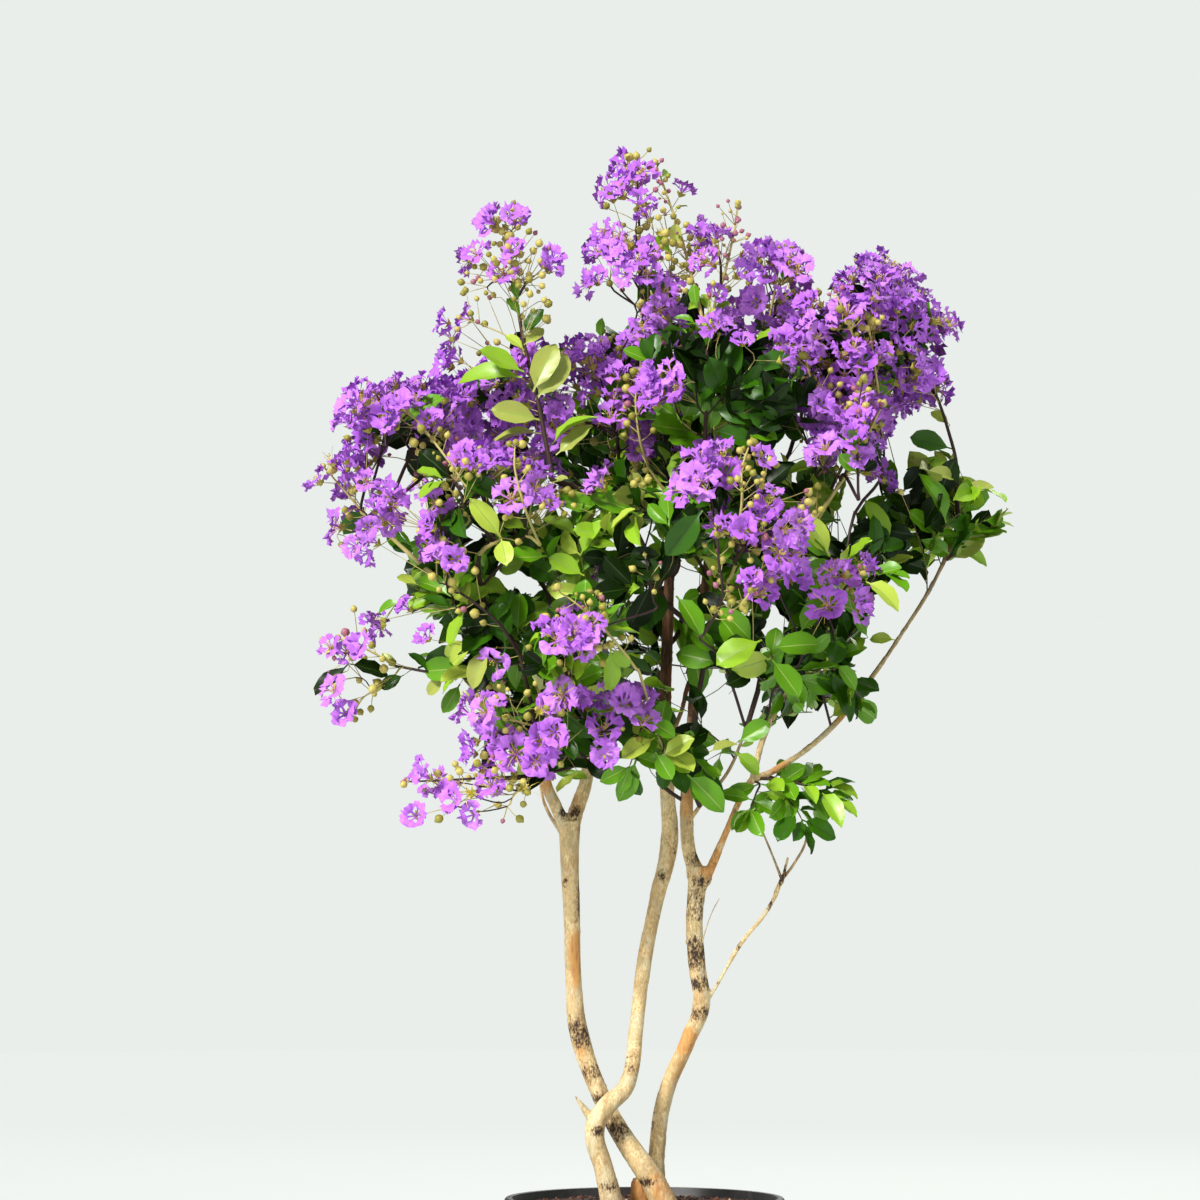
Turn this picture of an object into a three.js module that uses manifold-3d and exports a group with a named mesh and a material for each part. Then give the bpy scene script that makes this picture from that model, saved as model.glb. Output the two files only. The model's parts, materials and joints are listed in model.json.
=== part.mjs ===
// A young crape myrtle in a round nursery pot: three bare stems that cross at the foot, their
// limbs, and a crown of separate flower and leaf masses.
// Millimetres, +Z up, +X to the right, -Y to the front. The origin is the centre of the pot's
// flat underside.
import * as THREE from "three";
import { mergeVertices } from "three/addons/utils/BufferGeometryUtils.js";
import Module from "manifold-3d";

const wasm = await Module();
wasm.setup();

// ---- driving dimensions ----
const POT_HEIGHT = 225;
const POT_RIM_RADIUS = 125;
const POT_NECK_RADIUS = 117;
const POT_FOOT_RADIUS = 98;
const POT_WALL = 2.5;
const RIM_BAND_HEIGHT = 20;
const RIM_BAND_OUT = 4;
const LIP_HEIGHT = 5;
const LIP_ROUND = 1.5;
const FOOT_CHAMFER = 2;
const POT_SEGMENTS = 30;
const DRAIN_COUNT = 6;
const DRAIN_WIDTH = 18;
const DRAIN_HEIGHT = 9;
const DRAIN_RISE = 10;
const SOIL_DEPTH_BELOW_RIM = 8;
const SOIL_CROWNING = 2;
const TOUCH_GAP = 0.35;
const SPLIT_GAP = 0.4;
const LIMB_STEP = 34;
const STEM_SIDES = 9;
const BOUGH_SIDES = 7;
const TWIG_SIDES = 5;
const BOUGH_RADIUS = 3.2;
const STEM_RADIUS = 7;
const LARGE_MASS = 80;
const BUMPS_PER_MASS = 9;
const BUMP_HEIGHT = 0.3;
const BUMP_SPREAD = 0.12;
const HOLLOW_DEPTH = 0.2;
const MERGE_DISTANCE = 1e-4;

const soilTop = POT_HEIGHT - SOIL_DEPTH_BELOW_RIM;

// Each limb is a route of [x, y, z, radius]. "through" marks a limb that runs up whole inside
// the foliage; every other limb ends where it enters a mass. Order is from parent to child.
const LIMBS = [
  {
    name: "stem_left",
    route: [
      [24, -18, 205, 13], [7, -15, 241, 11], [-20, -6, 280, 9.5], [-41, 2, 320, 8.2],
      [-59, 0, 373, 8.8], [-63, -6, 414, 7.4], [-65, -12, 476, 7.5], [-67, -19, 534, 8.6],
      [-67, -21, 561, 10.5],
    ],
  },
  {
    name: "stem_middle",
    through: true,
    route: [
      [-25, -30, 205, 11.5], [-36, -31, 251, 8.8], [-44, -32, 288, 8.8], [-34, -29, 307, 8.4],
      [-18, -22, 322, 7.6], [-11, -12, 342, 6.9], [-8, 0, 369, 6.5], [0, 13, 431, 6.8],
      [11, 20, 488, 7], [23, 22, 542, 8.2], [21, 18, 589, 6.8], [19, 22, 657, 6.2],
      [22, 32, 731, 5.4], [24, 40, 796, 4.6],
    ],
  },
  {
    name: "stem_right",
    route: [
      [11, 24, 205, 11], [11, 22, 256, 7.6], [19, 14, 315, 7.2], [39, 3, 364, 6.9],
      [51, -5, 395, 8.2], [47, -10, 432, 7.9], [45, -13, 467, 7.7], [47, -16, 503, 8.4],
      [48, -17, 520, 9.6],
    ],
  },
  { name: "cut_stump", route: [[-1, 2, 205, 11], [-4, 1, 227, 9], [-7, 0, 243, 5]] },
  {
    name: "left_outer_limb",
    route: [[-71, -22, 555, 6.6], [-79, -26, 573, 5.6], [-87, -32, 591, 4.9], [-92, -46, 625, 4.4]],
  },
  {
    name: "left_inner_limb",
    route: [[-65, -21, 556, 7.6], [-59, -18, 575, 6.6], [-53, -13, 593, 5.8], [-47, -6, 645, 5.2]],
  },
  {
    name: "left_twig",
    route: [[-75, -22, 550, 2], [-86, -22, 568, 1.5], [-91, -21, 581, 1.3], [-94, -22, 612, 1.2]],
  },
  {
    name: "middle_stub",
    route: [[-42, -31, 290, 5], [-52, -34, 303, 3.2], [-57, -35, 310, 2.2], [-62, -36, 317, 1]],
  },
  {
    name: "upright_limb",
    through: true,
    route: [
      [46, -17, 515, 7.4], [40, -18, 532, 6.4], [38, -18, 561, 6.2], [39, -16, 601, 5.8],
      [45, -5, 669, 5.2], [49, 1, 724, 4.6], [56, 2, 778, 4.2], [59, 0, 810, 3.8],
    ],
  },
  {
    name: "spreading_limb",
    route: [
      [50, -17, 499, 5.2], [61, -24, 522, 3.9], [74, -37, 553, 3.2], [86, -46, 581, 3],
      [96, -50, 597, 3.6],
    ],
  },
  {
    name: "inner_riser",
    route: [[95, -50, 594, 3.4], [106, -42, 633, 2.9], [124, -34, 669, 2.6], [146, -28, 699, 2.3]],
  },
  {
    name: "far_right_bough",
    route: [
      [95, -50, 595, 3.6], [120, -42, 607, 3], [167, -24, 643, 2.6], [207, -8, 692, 2.3],
      [236, 0, 734, 2.1], [259, 2, 770, 2.2], [279, 2, 810, 2.6],
    ],
  },
  {
    name: "side_branch",
    route: [
      [51, -5, 392, 3.6], [62, -9, 409, 1.9], [85, -18, 449, 2.2], [111, -26, 483, 2],
      [123, -30, 509, 2.3],
    ],
  },
  { name: "side_twig_left", route: [[123, -30, 506, 1.5], [114, -32, 529, 0.9], [101, -34, 560, 0.8]] },
  {
    name: "side_twig_right",
    route: [[122, -30, 507, 1.6], [134, -32, 523, 1.3], [144, -34, 544, 1.1], [143, -35, 557, 1]],
  },
  { name: "side_stub", route: [[122, -30, 504, 2.2], [128, -30, 528, 1.7]] },
  {
    name: "low_cross_twig",
    route: [[38, -17, 557, 2.2], [51, -24, 575, 1.6], [74, -40, 603, 1.4], [90, -50, 640, 1.2]],
  },
  {
    name: "crossing_branch",
    route: [[21, 20, 628, 2.8], [34, 17, 660, 2.3], [42, 14, 688, 2.2], [64, 12, 723, 1.8]],
  },
  {
    name: "spire_shoot",
    through: true,
    route: [[-82, -92, 880, 2.4], [-90, -84, 920, 2.2], [-103, -68, 968, 1.8], [-115, -52, 1030, 1.4]],
  },
  {
    name: "spray_shoot",
    route: [[-120, -42, 708, 2.2], [-165, -42, 699, 1.8], [-196, -38, 700, 1.5], [-245, -33, 702, 1.2]],
  },
];

// Each mass has a name, a centre and its half sizes. A bloom can narrow toward its tip.
function bloom(name, centre, half, narrowing = 0) {
  return { name, centre, half, narrowing, finish: "bloom" };
}

function leaves(name, centre, half) {
  return { name, centre, half, narrowing: 0, finish: "leaf" };
}

const MASSES = [
  bloom("spire_left", [-117, -48, 1060], [46, 40, 63], 0.25),
  leaves("shoot_leaves", [-103, -88, 930], [54, 38, 42]),
  bloom("bloom_left_shoulder", [-221, -35, 912], [60, 62, 50], 0.1),
  bloom("bloom_left_crest", [-112, -5, 942], [76, 62, 60], 0.1),
  bloom("bloom_left_tip", [-252, -55, 841], [51, 48, 52], 0.1),
  bloom("bloom_left_mid", [-149, -105, 829], [67, 58, 56]),
  bloom("spray_left_low", [-261, -33, 700], [36, 34, 55]),
  leaves("leaves_left", [-163, -42, 737], [76, 66, 56]),
  bloom("bloom_front_left", [-62, -168, 712], [44, 42, 44]),
  bloom("bloom_low_left", [-75, -105, 639], [86, 58, 46]),
  bloom("bloom_lowest_left", [-155, -112, 583], [63, 44, 35]),
  bloom("spire_top", [-3, -11, 1078], [58, 57, 88], 0.3),
  bloom("spire_top_small", [74, -58, 1059], [30, 35, 60], 0.3),
  bloom("bloom_top_right", [117, 10, 1031], [48, 58, 58], 0.1),
  bloom("bloom_right", [207, -10, 994], [85, 82, 86], 0.1),
  bloom("bloom_right_lower", [189, -78, 887], [55, 56, 45]),
  bloom("bloom_front_right", [88, -152, 812], [58, 66, 79]),
  bloom("bloom_small_right", [172, -118, 761], [28, 30, 32]),
  leaves("leaves_centre_top", [78, -84, 936], [80, 78, 66]),
  leaves("leaves_right_tip", [266, 0, 858], [66, 55, 76]),
  leaves("leaves_right_mid", [182, -20, 795], [56, 70, 59]),
  leaves("leaves_centre", [-15, -92, 801], [81, 62, 63]),
  leaves("leaves_right_low", [122, -62, 697], [82, 74, 64]),
  leaves("leaves_centre_low", [17, -62, 629], [67, 64, 51]),
  leaves("leaves_low_right", [141, -45, 576], [54, 36, 33]),
  bloom("bloom_centre", [-35, 20, 945], [60, 66, 68], 0.1),
  bloom("back_bloom_left", [-178, 92, 918], [80, 72, 62], 0.1),
  bloom("back_bloom_top", [17, 100, 1018], [75, 66, 80], 0.2),
  bloom("back_bloom_right", [184, 118, 973], [79, 72, 79], 0.1),
  leaves("back_leaves_left", [-152, 105, 797], [82, 74, 64]),
  leaves("back_leaves_high", [10, 172, 900], [96, 66, 74]),
  leaves("back_leaves_right", [150, 150, 834], [85, 72, 76]),
  bloom("back_bloom_low", [-51, 170, 754], [64, 60, 60]),
  leaves("back_leaves_low", [-91, 92, 675], [76, 72, 56]),
  leaves("back_leaves_lower_right", [139, 105, 708], [75, 74, 63]),
  leaves("core_leaves", [50, 30, 830], [74, 74, 72]),
];

// ---- materials ----
const finishes = {
  pot: { color: 0x17171a, roughness: 0.42 },
  soil: { color: 0x3a241b, roughness: 0.95 },
  bark: { color: 0xc7a878, roughness: 0.8 },
  bloom: { color: 0xa45fe0, roughness: 0.6 },
  leaf: { color: 0x3f7a22, roughness: 0.45 },
};

const tree = new THREE.Group();

function addNode(name, solid, finish) {
  const material = new THREE.MeshStandardMaterial({ ...finishes[finish], metalness: 0 });
  const node = new THREE.Mesh(toGeometry(solid), material);
  node.name = name;
  tree.add(node);
}

// ---- solids ----
function toSolid(geometry) {
  geometry.deleteAttribute("normal");
  geometry.deleteAttribute("uv");
  const merged = mergeVertices(geometry, MERGE_DISTANCE);
  const mesh = new wasm.Mesh({
    numProp: 3,
    vertProperties: new Float32Array(merged.attributes.position.array),
    triVerts: new Uint32Array(merged.index.array),
  });
  return new wasm.Manifold(mesh);
}

function toGeometry(solid) {
  const mesh = solid.getMesh();
  const geometry = new THREE.BufferGeometry();
  geometry.setAttribute("position", new THREE.BufferAttribute(mesh.vertProperties, 3));
  geometry.setIndex(new THREE.BufferAttribute(mesh.triVerts, 1));
  geometry.computeVertexNormals();
  return geometry;
}

function largestBody(solid) {
  const bodies = solid.decompose();
  return bodies.reduce((best, body) => (body.volume() > best.volume() ? body : best));
}

function overlaps(first, second) {
  return !first.intersect(second).isEmpty();
}

// Repeatable random numbers from 0 to 1, a new run for each seed.
function randomFrom(seed) {
  let state = (seed + 1) * 7919 + 17;
  return () => {
    state = (state * 16807) % 2147483647;
    return state / 2147483647;
  };
}

// A closed solid of revolution from a [radius, height] profile that starts and ends on the axis.
function turned(profile) {
  const points = profile.map(([radius, height]) => new THREE.Vector2(radius, height));
  const geometry = new THREE.LatheGeometry(points, POT_SEGMENTS);
  geometry.rotateX(Math.PI / 2);
  return toSolid(geometry);
}

// ---- pot and soil ----
const bandFoot = POT_HEIGHT - RIM_BAND_HEIGHT;
const bandRadius = POT_NECK_RADIUS + RIM_BAND_OUT;
const innerFootRadius = POT_FOOT_RADIUS - POT_WALL;
const innerTopRadius = bandRadius - POT_WALL;

function innerRadiusAt(height) {
  const rise = (height - POT_WALL) / (POT_HEIGHT - POT_WALL);
  return THREE.MathUtils.lerp(innerFootRadius, innerTopRadius, rise);
}

function drainSlot(index) {
  const half = DRAIN_HEIGHT / 2;
  const reach = DRAIN_WIDTH / 2 - half;
  const outline = new THREE.Shape();
  outline.absarc(reach, 0, half, -Math.PI / 2, Math.PI / 2);
  outline.absarc(-reach, 0, half, Math.PI / 2, (3 * Math.PI) / 2);
  const depth = 5 * POT_WALL;
  const slot = new THREE.ExtrudeGeometry(outline, { depth, bevelEnabled: false, curveSegments: 2 });
  slot.rotateX(Math.PI / 2);
  slot.translate(0, depth / 2 - POT_FOOT_RADIUS, DRAIN_RISE);
  slot.rotateZ(((index + 0.5) * 2 * Math.PI) / DRAIN_COUNT);
  return toSolid(slot);
}

function makePot() {
  let pot = turned([
    [0, 0],
    [POT_FOOT_RADIUS - FOOT_CHAMFER, 0],
    [POT_FOOT_RADIUS, FOOT_CHAMFER],
    [POT_NECK_RADIUS, bandFoot],
    [bandRadius, bandFoot],
    [bandRadius, POT_HEIGHT - LIP_HEIGHT - LIP_ROUND],
    [POT_RIM_RADIUS, POT_HEIGHT - LIP_HEIGHT],
    [POT_RIM_RADIUS, POT_HEIGHT - LIP_ROUND],
    [POT_RIM_RADIUS - LIP_ROUND, POT_HEIGHT],
    [innerTopRadius, POT_HEIGHT],
    [innerFootRadius, POT_WALL],
    [0, POT_WALL],
  ]);
  for (let index = 0; index < DRAIN_COUNT; index++) {
    pot = pot.subtract(drainSlot(index));
  }
  return pot;
}

function makeSoil() {
  const foot = POT_WALL + TOUCH_GAP;
  return turned([
    [0, foot],
    [innerFootRadius - TOUCH_GAP, foot],
    [innerRadiusAt(soilTop) - 2 * TOUCH_GAP, soilTop],
    [0.6 * POT_NECK_RADIUS, soilTop + SOIL_CROWNING],
    [0, soilTop + SOIL_CROWNING],
  ]);
}

// ---- limbs ----
function sidesFor(radius) {
  if (radius >= STEM_RADIUS) {
    return STEM_SIDES;
  }
  return radius >= BOUGH_RADIUS ? BOUGH_SIDES : TWIG_SIDES;
}

// A tapering round limb along a route. "extra" makes it that much thicker all over.
function limbSolid(route, extra = 0) {
  const path = new THREE.CatmullRomCurve3(route.map((stop) => new THREE.Vector3(...stop)));
  const steps = Math.max(3, Math.round(path.getLength() / LIMB_STEP));
  const frames = path.computeFrenetFrames(steps, false);
  const limb = new THREE.CylinderGeometry(1, 1, 1, sidesFor(route[0][3]), steps);
  const position = limb.attributes.position;
  const vertex = new THREE.Vector3();
  for (let index = 0; index < position.count; index++) {
    vertex.fromBufferAttribute(position, index);
    const step = Math.round((vertex.y + 0.5) * steps);
    const along = path.getUtoTmapping(step / steps);
    const radius = radiusAt(route, along) + extra;
    const point = path.getPoint(along);
    point.addScaledVector(frames.normals[step], vertex.x * radius);
    point.addScaledVector(frames.binormals[step], -vertex.z * radius);
    position.setXYZ(index, point.x, point.y, point.z);
  }
  return toSolid(limb);
}

function radiusAt(route, along) {
  const place = along * (route.length - 1);
  const stop = Math.min(Math.floor(place), route.length - 2);
  return THREE.MathUtils.lerp(route[stop][3], route[stop + 1][3], place - stop);
}

// ---- foliage masses ----
// A lumpy closed blob that fills its box of half sizes. "extra" makes it that much bigger.
function massSolid({ centre, half, narrowing }, seed, extra = 0) {
  const random = randomFrom(seed);
  const bumps = [];
  for (let index = 0; index < BUMPS_PER_MASS; index++) {
    const toward = new THREE.Vector3(random() - 0.5, random() - 0.5, random() - 0.5).normalize();
    const height = index % 3 === 2 ? -HOLLOW_DEPTH : BUMP_HEIGHT;
    bumps.push({ toward, height: height * (0.5 + 0.5 * random()) });
  }
  const isLarge = Math.max(...half) >= LARGE_MASS;
  const mass = isLarge ? new THREE.IcosahedronGeometry(1, 2) : new THREE.OctahedronGeometry(1, 3);
  const position = mass.attributes.position;
  const vertex = new THREE.Vector3();
  for (let index = 0; index < position.count; index++) {
    vertex.fromBufferAttribute(position, index).normalize();
    let reach = 1;
    for (const { toward, height } of bumps) {
      reach += height * Math.exp((vertex.dot(toward) - 1) / BUMP_SPREAD);
    }
    const slim = 1 - narrowing * vertex.z;
    vertex.multiply(new THREE.Vector3(reach * slim, reach * slim, reach));
    position.setXYZ(index, vertex.x, vertex.y, vertex.z);
  }
  mass.computeBoundingBox();
  const size = mass.boundingBox.getSize(new THREE.Vector3());
  const middle = mass.boundingBox.getCenter(new THREE.Vector3());
  mass.translate(-middle.x, -middle.y, -middle.z);
  const [wide, deep, high] = half.map((reach) => 2 * (reach + extra));
  mass.scale(wide / size.x, deep / size.y, high / size.z);
  mass.translate(...centre);
  return toSolid(mass);
}

// The flat split between two neighbours: where their half sizes meet on the line of centres.
function splitPlane(first, second) {
  const from = new THREE.Vector3(...first.centre);
  const firstHalf = new THREE.Vector3(...first.half);
  const secondHalf = new THREE.Vector3(...second.half);
  const across = new THREE.Vector3(...second.centre).sub(from);
  const firstReach = across.clone().divide(firstHalf).length();
  const secondReach = across.clone().divide(secondHalf).length();
  const middle = from.addScaledVector(across, secondReach / (firstReach + secondReach));
  const normal = across.divide(firstHalf).divide(secondHalf).normalize();
  return { normal, offset: normal.dot(middle) };
}

// ---- assembly ----
addNode("pot", makePot(), "pot");
addNode("soil", makeSoil(), "soil");

// Limbs stand on the soil, are cut round the limbs before them, and end at the foliage.
const ground = soilTop + SOIL_CROWNING + TOUCH_GAP;
const foliage = MASSES.map((mass, index) => massSolid(mass, index, TOUCH_GAP));
const wholeFoliage = wasm.Manifold.union(foliage);
const limbCutters = LIMBS.map(({ route }) => limbSolid(route, TOUCH_GAP));
LIMBS.forEach(({ name, route, through }, index) => {
  let limb = limbSolid(route).trimByPlane([0, 0, 1], ground);
  for (const cutter of limbCutters.slice(0, index)) {
    limb = limb.subtract(cutter);
  }
  if (!through) {
    limb = limb.subtract(wholeFoliage);
  }
  addNode(name, largestBody(limb), "bark");
});

// Masses that meet are split by a flat plane, and then cut round the limbs that run through.
const masses = MASSES.map((mass, index) => massSolid(mass, index));
const splits = masses.map(() => []);
for (let first = 0; first < masses.length; first++) {
  for (let second = first + 1; second < masses.length; second++) {
    if (overlaps(foliage[first], foliage[second])) {
      const { normal, offset } = splitPlane(MASSES[first], MASSES[second]);
      splits[second].push({ keep: normal.toArray(), from: offset + SPLIT_GAP / 2 });
      splits[first].push({ keep: normal.negate().toArray(), from: SPLIT_GAP / 2 - offset });
    }
  }
}
const throughCutters = limbCutters.filter((_, index) => LIMBS[index].through);
MASSES.forEach(({ name, finish }, index) => {
  let solid = masses[index];
  for (const { keep, from } of splits[index]) {
    solid = solid.trimByPlane(keep, from);
  }
  for (const cutter of throughCutters) {
    solid = solid.subtract(cutter);
  }
  addNode(name, largestBody(solid), finish);
});

export default tree;
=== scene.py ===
# %% [markdown]
# # A crape myrtle in a nursery pot
#
# Three bare stems cross at the foot, carry a few limbs, and hold up a crown of glossy leaves and
# violet flower heads. The pot, the stems and the masses of foliage come from a solid model, which
# is loaded first. Every piece made below grows on those limbs and inside those masses, so that it
# lies where the solid model says, and nothing has to be fitted afterwards.

import itertools
import json
import math

import bpy
import numpy as np
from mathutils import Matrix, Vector, noise
from mathutils.bvhtree import BVHTree

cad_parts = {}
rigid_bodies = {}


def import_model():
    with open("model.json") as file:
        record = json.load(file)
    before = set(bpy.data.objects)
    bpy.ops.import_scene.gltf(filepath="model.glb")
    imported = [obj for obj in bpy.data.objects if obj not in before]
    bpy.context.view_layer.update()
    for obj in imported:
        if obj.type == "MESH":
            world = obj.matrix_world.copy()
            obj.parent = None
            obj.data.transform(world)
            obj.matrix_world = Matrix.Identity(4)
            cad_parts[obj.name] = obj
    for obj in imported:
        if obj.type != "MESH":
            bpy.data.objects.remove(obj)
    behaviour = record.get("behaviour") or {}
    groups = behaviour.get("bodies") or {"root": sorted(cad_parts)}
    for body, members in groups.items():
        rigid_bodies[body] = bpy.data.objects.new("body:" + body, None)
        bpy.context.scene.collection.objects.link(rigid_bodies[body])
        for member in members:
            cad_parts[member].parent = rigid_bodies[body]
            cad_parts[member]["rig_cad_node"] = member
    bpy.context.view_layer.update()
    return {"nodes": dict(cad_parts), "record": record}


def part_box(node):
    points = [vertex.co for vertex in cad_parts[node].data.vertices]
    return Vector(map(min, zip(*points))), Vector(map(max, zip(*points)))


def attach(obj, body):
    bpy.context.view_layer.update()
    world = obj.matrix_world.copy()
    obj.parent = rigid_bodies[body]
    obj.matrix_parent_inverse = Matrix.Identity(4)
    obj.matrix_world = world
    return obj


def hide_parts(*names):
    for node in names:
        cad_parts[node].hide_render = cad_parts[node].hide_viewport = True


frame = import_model()

# %% [markdown]
# ## Units and small helpers
#
# A plant this small is easiest to describe in millimetres, while Blender works in metres, so
# lengths are written as a number times MM. Operators act on everything that is selected, and the
# loaded model is selected to begin with, so each step starts from an empty selection.

# %% Units and helpers
MM = 0.001


def clear_selection():
    if bpy.context.mode != "OBJECT":
        bpy.ops.object.mode_set(mode="OBJECT")
    bpy.ops.object.select_all(action="DESELECT")


def pick(*things):
    clear_selection()
    for thing in things:
        thing.select_set(True)
    bpy.context.view_layer.objects.active = things[-1]


def settle(piece, name):
    """Puts a finished piece at the origin, with its place in its mesh, and names it."""
    pick(piece)
    bpy.ops.object.transform_apply(location=True, rotation=True, scale=True)
    piece.name = name
    piece.data.name = name
    return piece


def apply_modifier(piece, kind, **settings):
    pick(piece)
    modifier = piece.modifiers.new(kind.title(), kind)
    for setting, value in settings.items():
        setattr(modifier, setting, value)
    bpy.ops.object.modifier_apply(modifier=modifier.name)


def smooth(piece, degrees):
    pick(piece)
    bpy.ops.object.shade_smooth_by_angle(angle=math.radians(degrees))


def unit(vector):
    """The same direction at length 1, for one vector or for rows of them."""
    length = np.linalg.norm(vector, axis=-1, keepdims=True)
    return vector / np.maximum(length, 1e-9)


# %% [markdown]
# ## Camera
#
# The plant is seen from the front and a little below the middle of its crown, with a long lens
# tipped up by under five degrees. The pot is cut off just under its rim.

# %% Camera
VIEW_PLACE = (-39.7 * MM, -3300 * MM, 486.5 * MM)
VIEW_TILT = math.radians(4.74)
VIEW_LENS = 109.776
SENSOR_WIDTH = 36

clear_selection()
bpy.ops.object.camera_add(location=VIEW_PLACE, rotation=(math.radians(90) + VIEW_TILT, 0, 0))
camera = bpy.context.object
camera.name = "camera"
camera.data.lens = VIEW_LENS
camera.data.sensor_width = SENSOR_WIDTH
bpy.context.scene.camera = camera
print("camera at", VIEW_PLACE, "lens", VIEW_LENS, "mm")

# %% [markdown]
# ## Light, floor and background
#
# Hazy sun from the upper left does most of the work. A sun lamp lights floor and plant evenly, and
# a wide angle softens its shadows. A large weak lamp from the right and one from behind keep the
# far edges from going black. A narrow one, low in front, reaches the bare stems under the crown.
# The background is plain and pale. It looks bright, but it lights the plant less than it shows, so
# that the inside of the crown stays dark. The floor is given a faint glow of the same colour, so
# that it runs into the background with no hard horizon. Background and finishes are networks of
# nodes, and a few small helpers keep their recipes short enough to read.

# %% Lamps
CROWN_MIDDLE = (0, 0, 0.75)
STEMS_MIDDLE = (0, 0, 0.45)
SUN_PLACE = (-2.2, -2.6, 3.3)
SUN_STRENGTH = 3.9
SUN_ANGLE = math.radians(14)


def aim(lamp, place, target):
    way = Vector(target) - Vector(place)
    lamp.rotation_euler = way.to_track_quat("-Z", "Y").to_euler()


def area_light(name, place, size, power, colour, target=CROWN_MIDDLE, spread=180):
    clear_selection()
    bpy.ops.object.light_add(type="AREA", location=place)
    lamp = bpy.context.object
    lamp.name = name
    lamp.data.size = size
    lamp.data.energy = power
    lamp.data.color = colour
    lamp.data.spread = math.radians(spread)
    aim(lamp, place, target)


clear_selection()
bpy.ops.object.light_add(type="SUN", location=SUN_PLACE)
key_light = bpy.context.object
key_light.name = "key_light"
key_light.data.energy = SUN_STRENGTH
key_light.data.angle = SUN_ANGLE
key_light.data.color = (1.0, 0.98, 0.95)
aim(key_light, SUN_PLACE, CROWN_MIDDLE)
area_light("fill_light", (3.2, -2.6, 1.6), 2.4, 16, (0.92, 0.96, 1.0))
area_light("stem_light", (-1.3, -2.8, 0.5), 0.4, 0.08, (1.0, 0.98, 0.94), STEMS_MIDDLE, 8)
area_light("back_light", (0.8, 3.4, 2.6), 2.0, 50, (1.0, 1.0, 0.96))

# %% Node helpers
def begin_finish(name, roughness):
    material = bpy.data.materials.new(name)
    material.use_nodes = True
    shader = material.node_tree.nodes["Principled BSDF"]
    shader.inputs["Roughness"].default_value = roughness
    return material, shader


def add_node(owner, kind, sockets=None, **settings):
    """Adds a node to a material or a world, with its settings and sockets filled in."""
    node = owner.node_tree.nodes.new(kind)
    for setting, value in settings.items():
        setattr(node, setting, value)
    for socket, value in (sockets or {}).items():
        node.inputs[socket].default_value = value
    return node


def wire(owner, start, end):
    owner.node_tree.links.new(start, end)


# %% Background
SKY_COLOUR = (0.86, 0.90, 0.87)
SKY_SHOWN = 0.95
SKY_LIGHT = 0.35

bpy.context.scene.view_settings.view_transform = "Standard"
world = bpy.data.worlds.new("pale_studio")
world.use_nodes = True
bpy.context.scene.world = world
shown = world.node_tree.nodes["Background"]
shown.inputs["Color"].default_value = (*SKY_COLOUR, 1)
shown.inputs["Strength"].default_value = SKY_SHOWN
glow = {"Color": (*SKY_COLOUR, 1), "Strength": SKY_LIGHT}
lighting = add_node(world, "ShaderNodeBackground", glow)
which = add_node(world, "ShaderNodeLightPath")
either = add_node(world, "ShaderNodeMixShader")
wire(world, which.outputs["Is Camera Ray"], either.inputs["Fac"])
wire(world, lighting.outputs["Background"], either.inputs[1])
wire(world, shown.outputs["Background"], either.inputs[2])
wire(world, either.outputs["Shader"], world.node_tree.nodes["World Output"].inputs["Surface"])
print("background shows at", SKY_SHOWN, "and lights at", SKY_LIGHT)

# %% Floor
FLOOR_RADIUS = 9
FLOOR_SHARE = 0.2
FLOOR_GLOW = 0.72

bpy.ops.mesh.primitive_circle_add(vertices=128, radius=FLOOR_RADIUS, fill_type="NGON")
floor = settle(bpy.context.object, "floor")
floor_finish, floor_shader = begin_finish("floor_paint", 0.9)
floor_tone = [FLOOR_SHARE * value for value in SKY_COLOUR]
floor_shader.inputs["Base Color"].default_value = (*floor_tone, 1)
glow = {"Color": (*SKY_COLOUR, 1), "Strength": FLOOR_GLOW}
floor_glow = add_node(floor_finish, "ShaderNodeEmission", glow)
floor_sum = add_node(floor_finish, "ShaderNodeAddShader")
floor_end = floor_finish.node_tree.nodes["Material Output"]
wire(floor_finish, floor_shader.outputs["BSDF"], floor_sum.inputs[0])
wire(floor_finish, floor_glow.outputs["Emission"], floor_sum.inputs[1])
wire(floor_finish, floor_sum.outputs["Shader"], floor_end.inputs["Surface"])
floor.data.materials.append(floor_finish)
print("floor radius", FLOOR_RADIUS, "m")

# %% [markdown]
# ## Finishes
#
# Colours are written as they look on a screen, from 0 to 255, and turned into the light values
# that a shader takes. The plain finishes are for leaves, petals, buds and stalks: each small piece
# keeps one colour, and neighbours differ because the colours are dealt out spray by spray. Deep in
# the crown, darker leaf and petal colours are dealt more often, as painted shade.

# %% Plain finishes
def light_values(red, green, blue):
    shares = (np.array([red, green, blue]) / 255).clip(0, 1)
    linear = np.where(shares <= 0.04045, shares / 12.92, ((shares + 0.055) / 1.055) ** 2.4)
    return tuple(float(value) for value in linear)


def plain_finish(name, colour, roughness, sheen=0.0, gloss=0.5):
    material, shader = begin_finish(name, roughness)
    shader.inputs["Base Color"].default_value = (*light_values(*colour), 1)
    shader.inputs["Sheen Weight"].default_value = sheen
    shader.inputs["Specular IOR Level"].default_value = gloss
    return material
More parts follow.
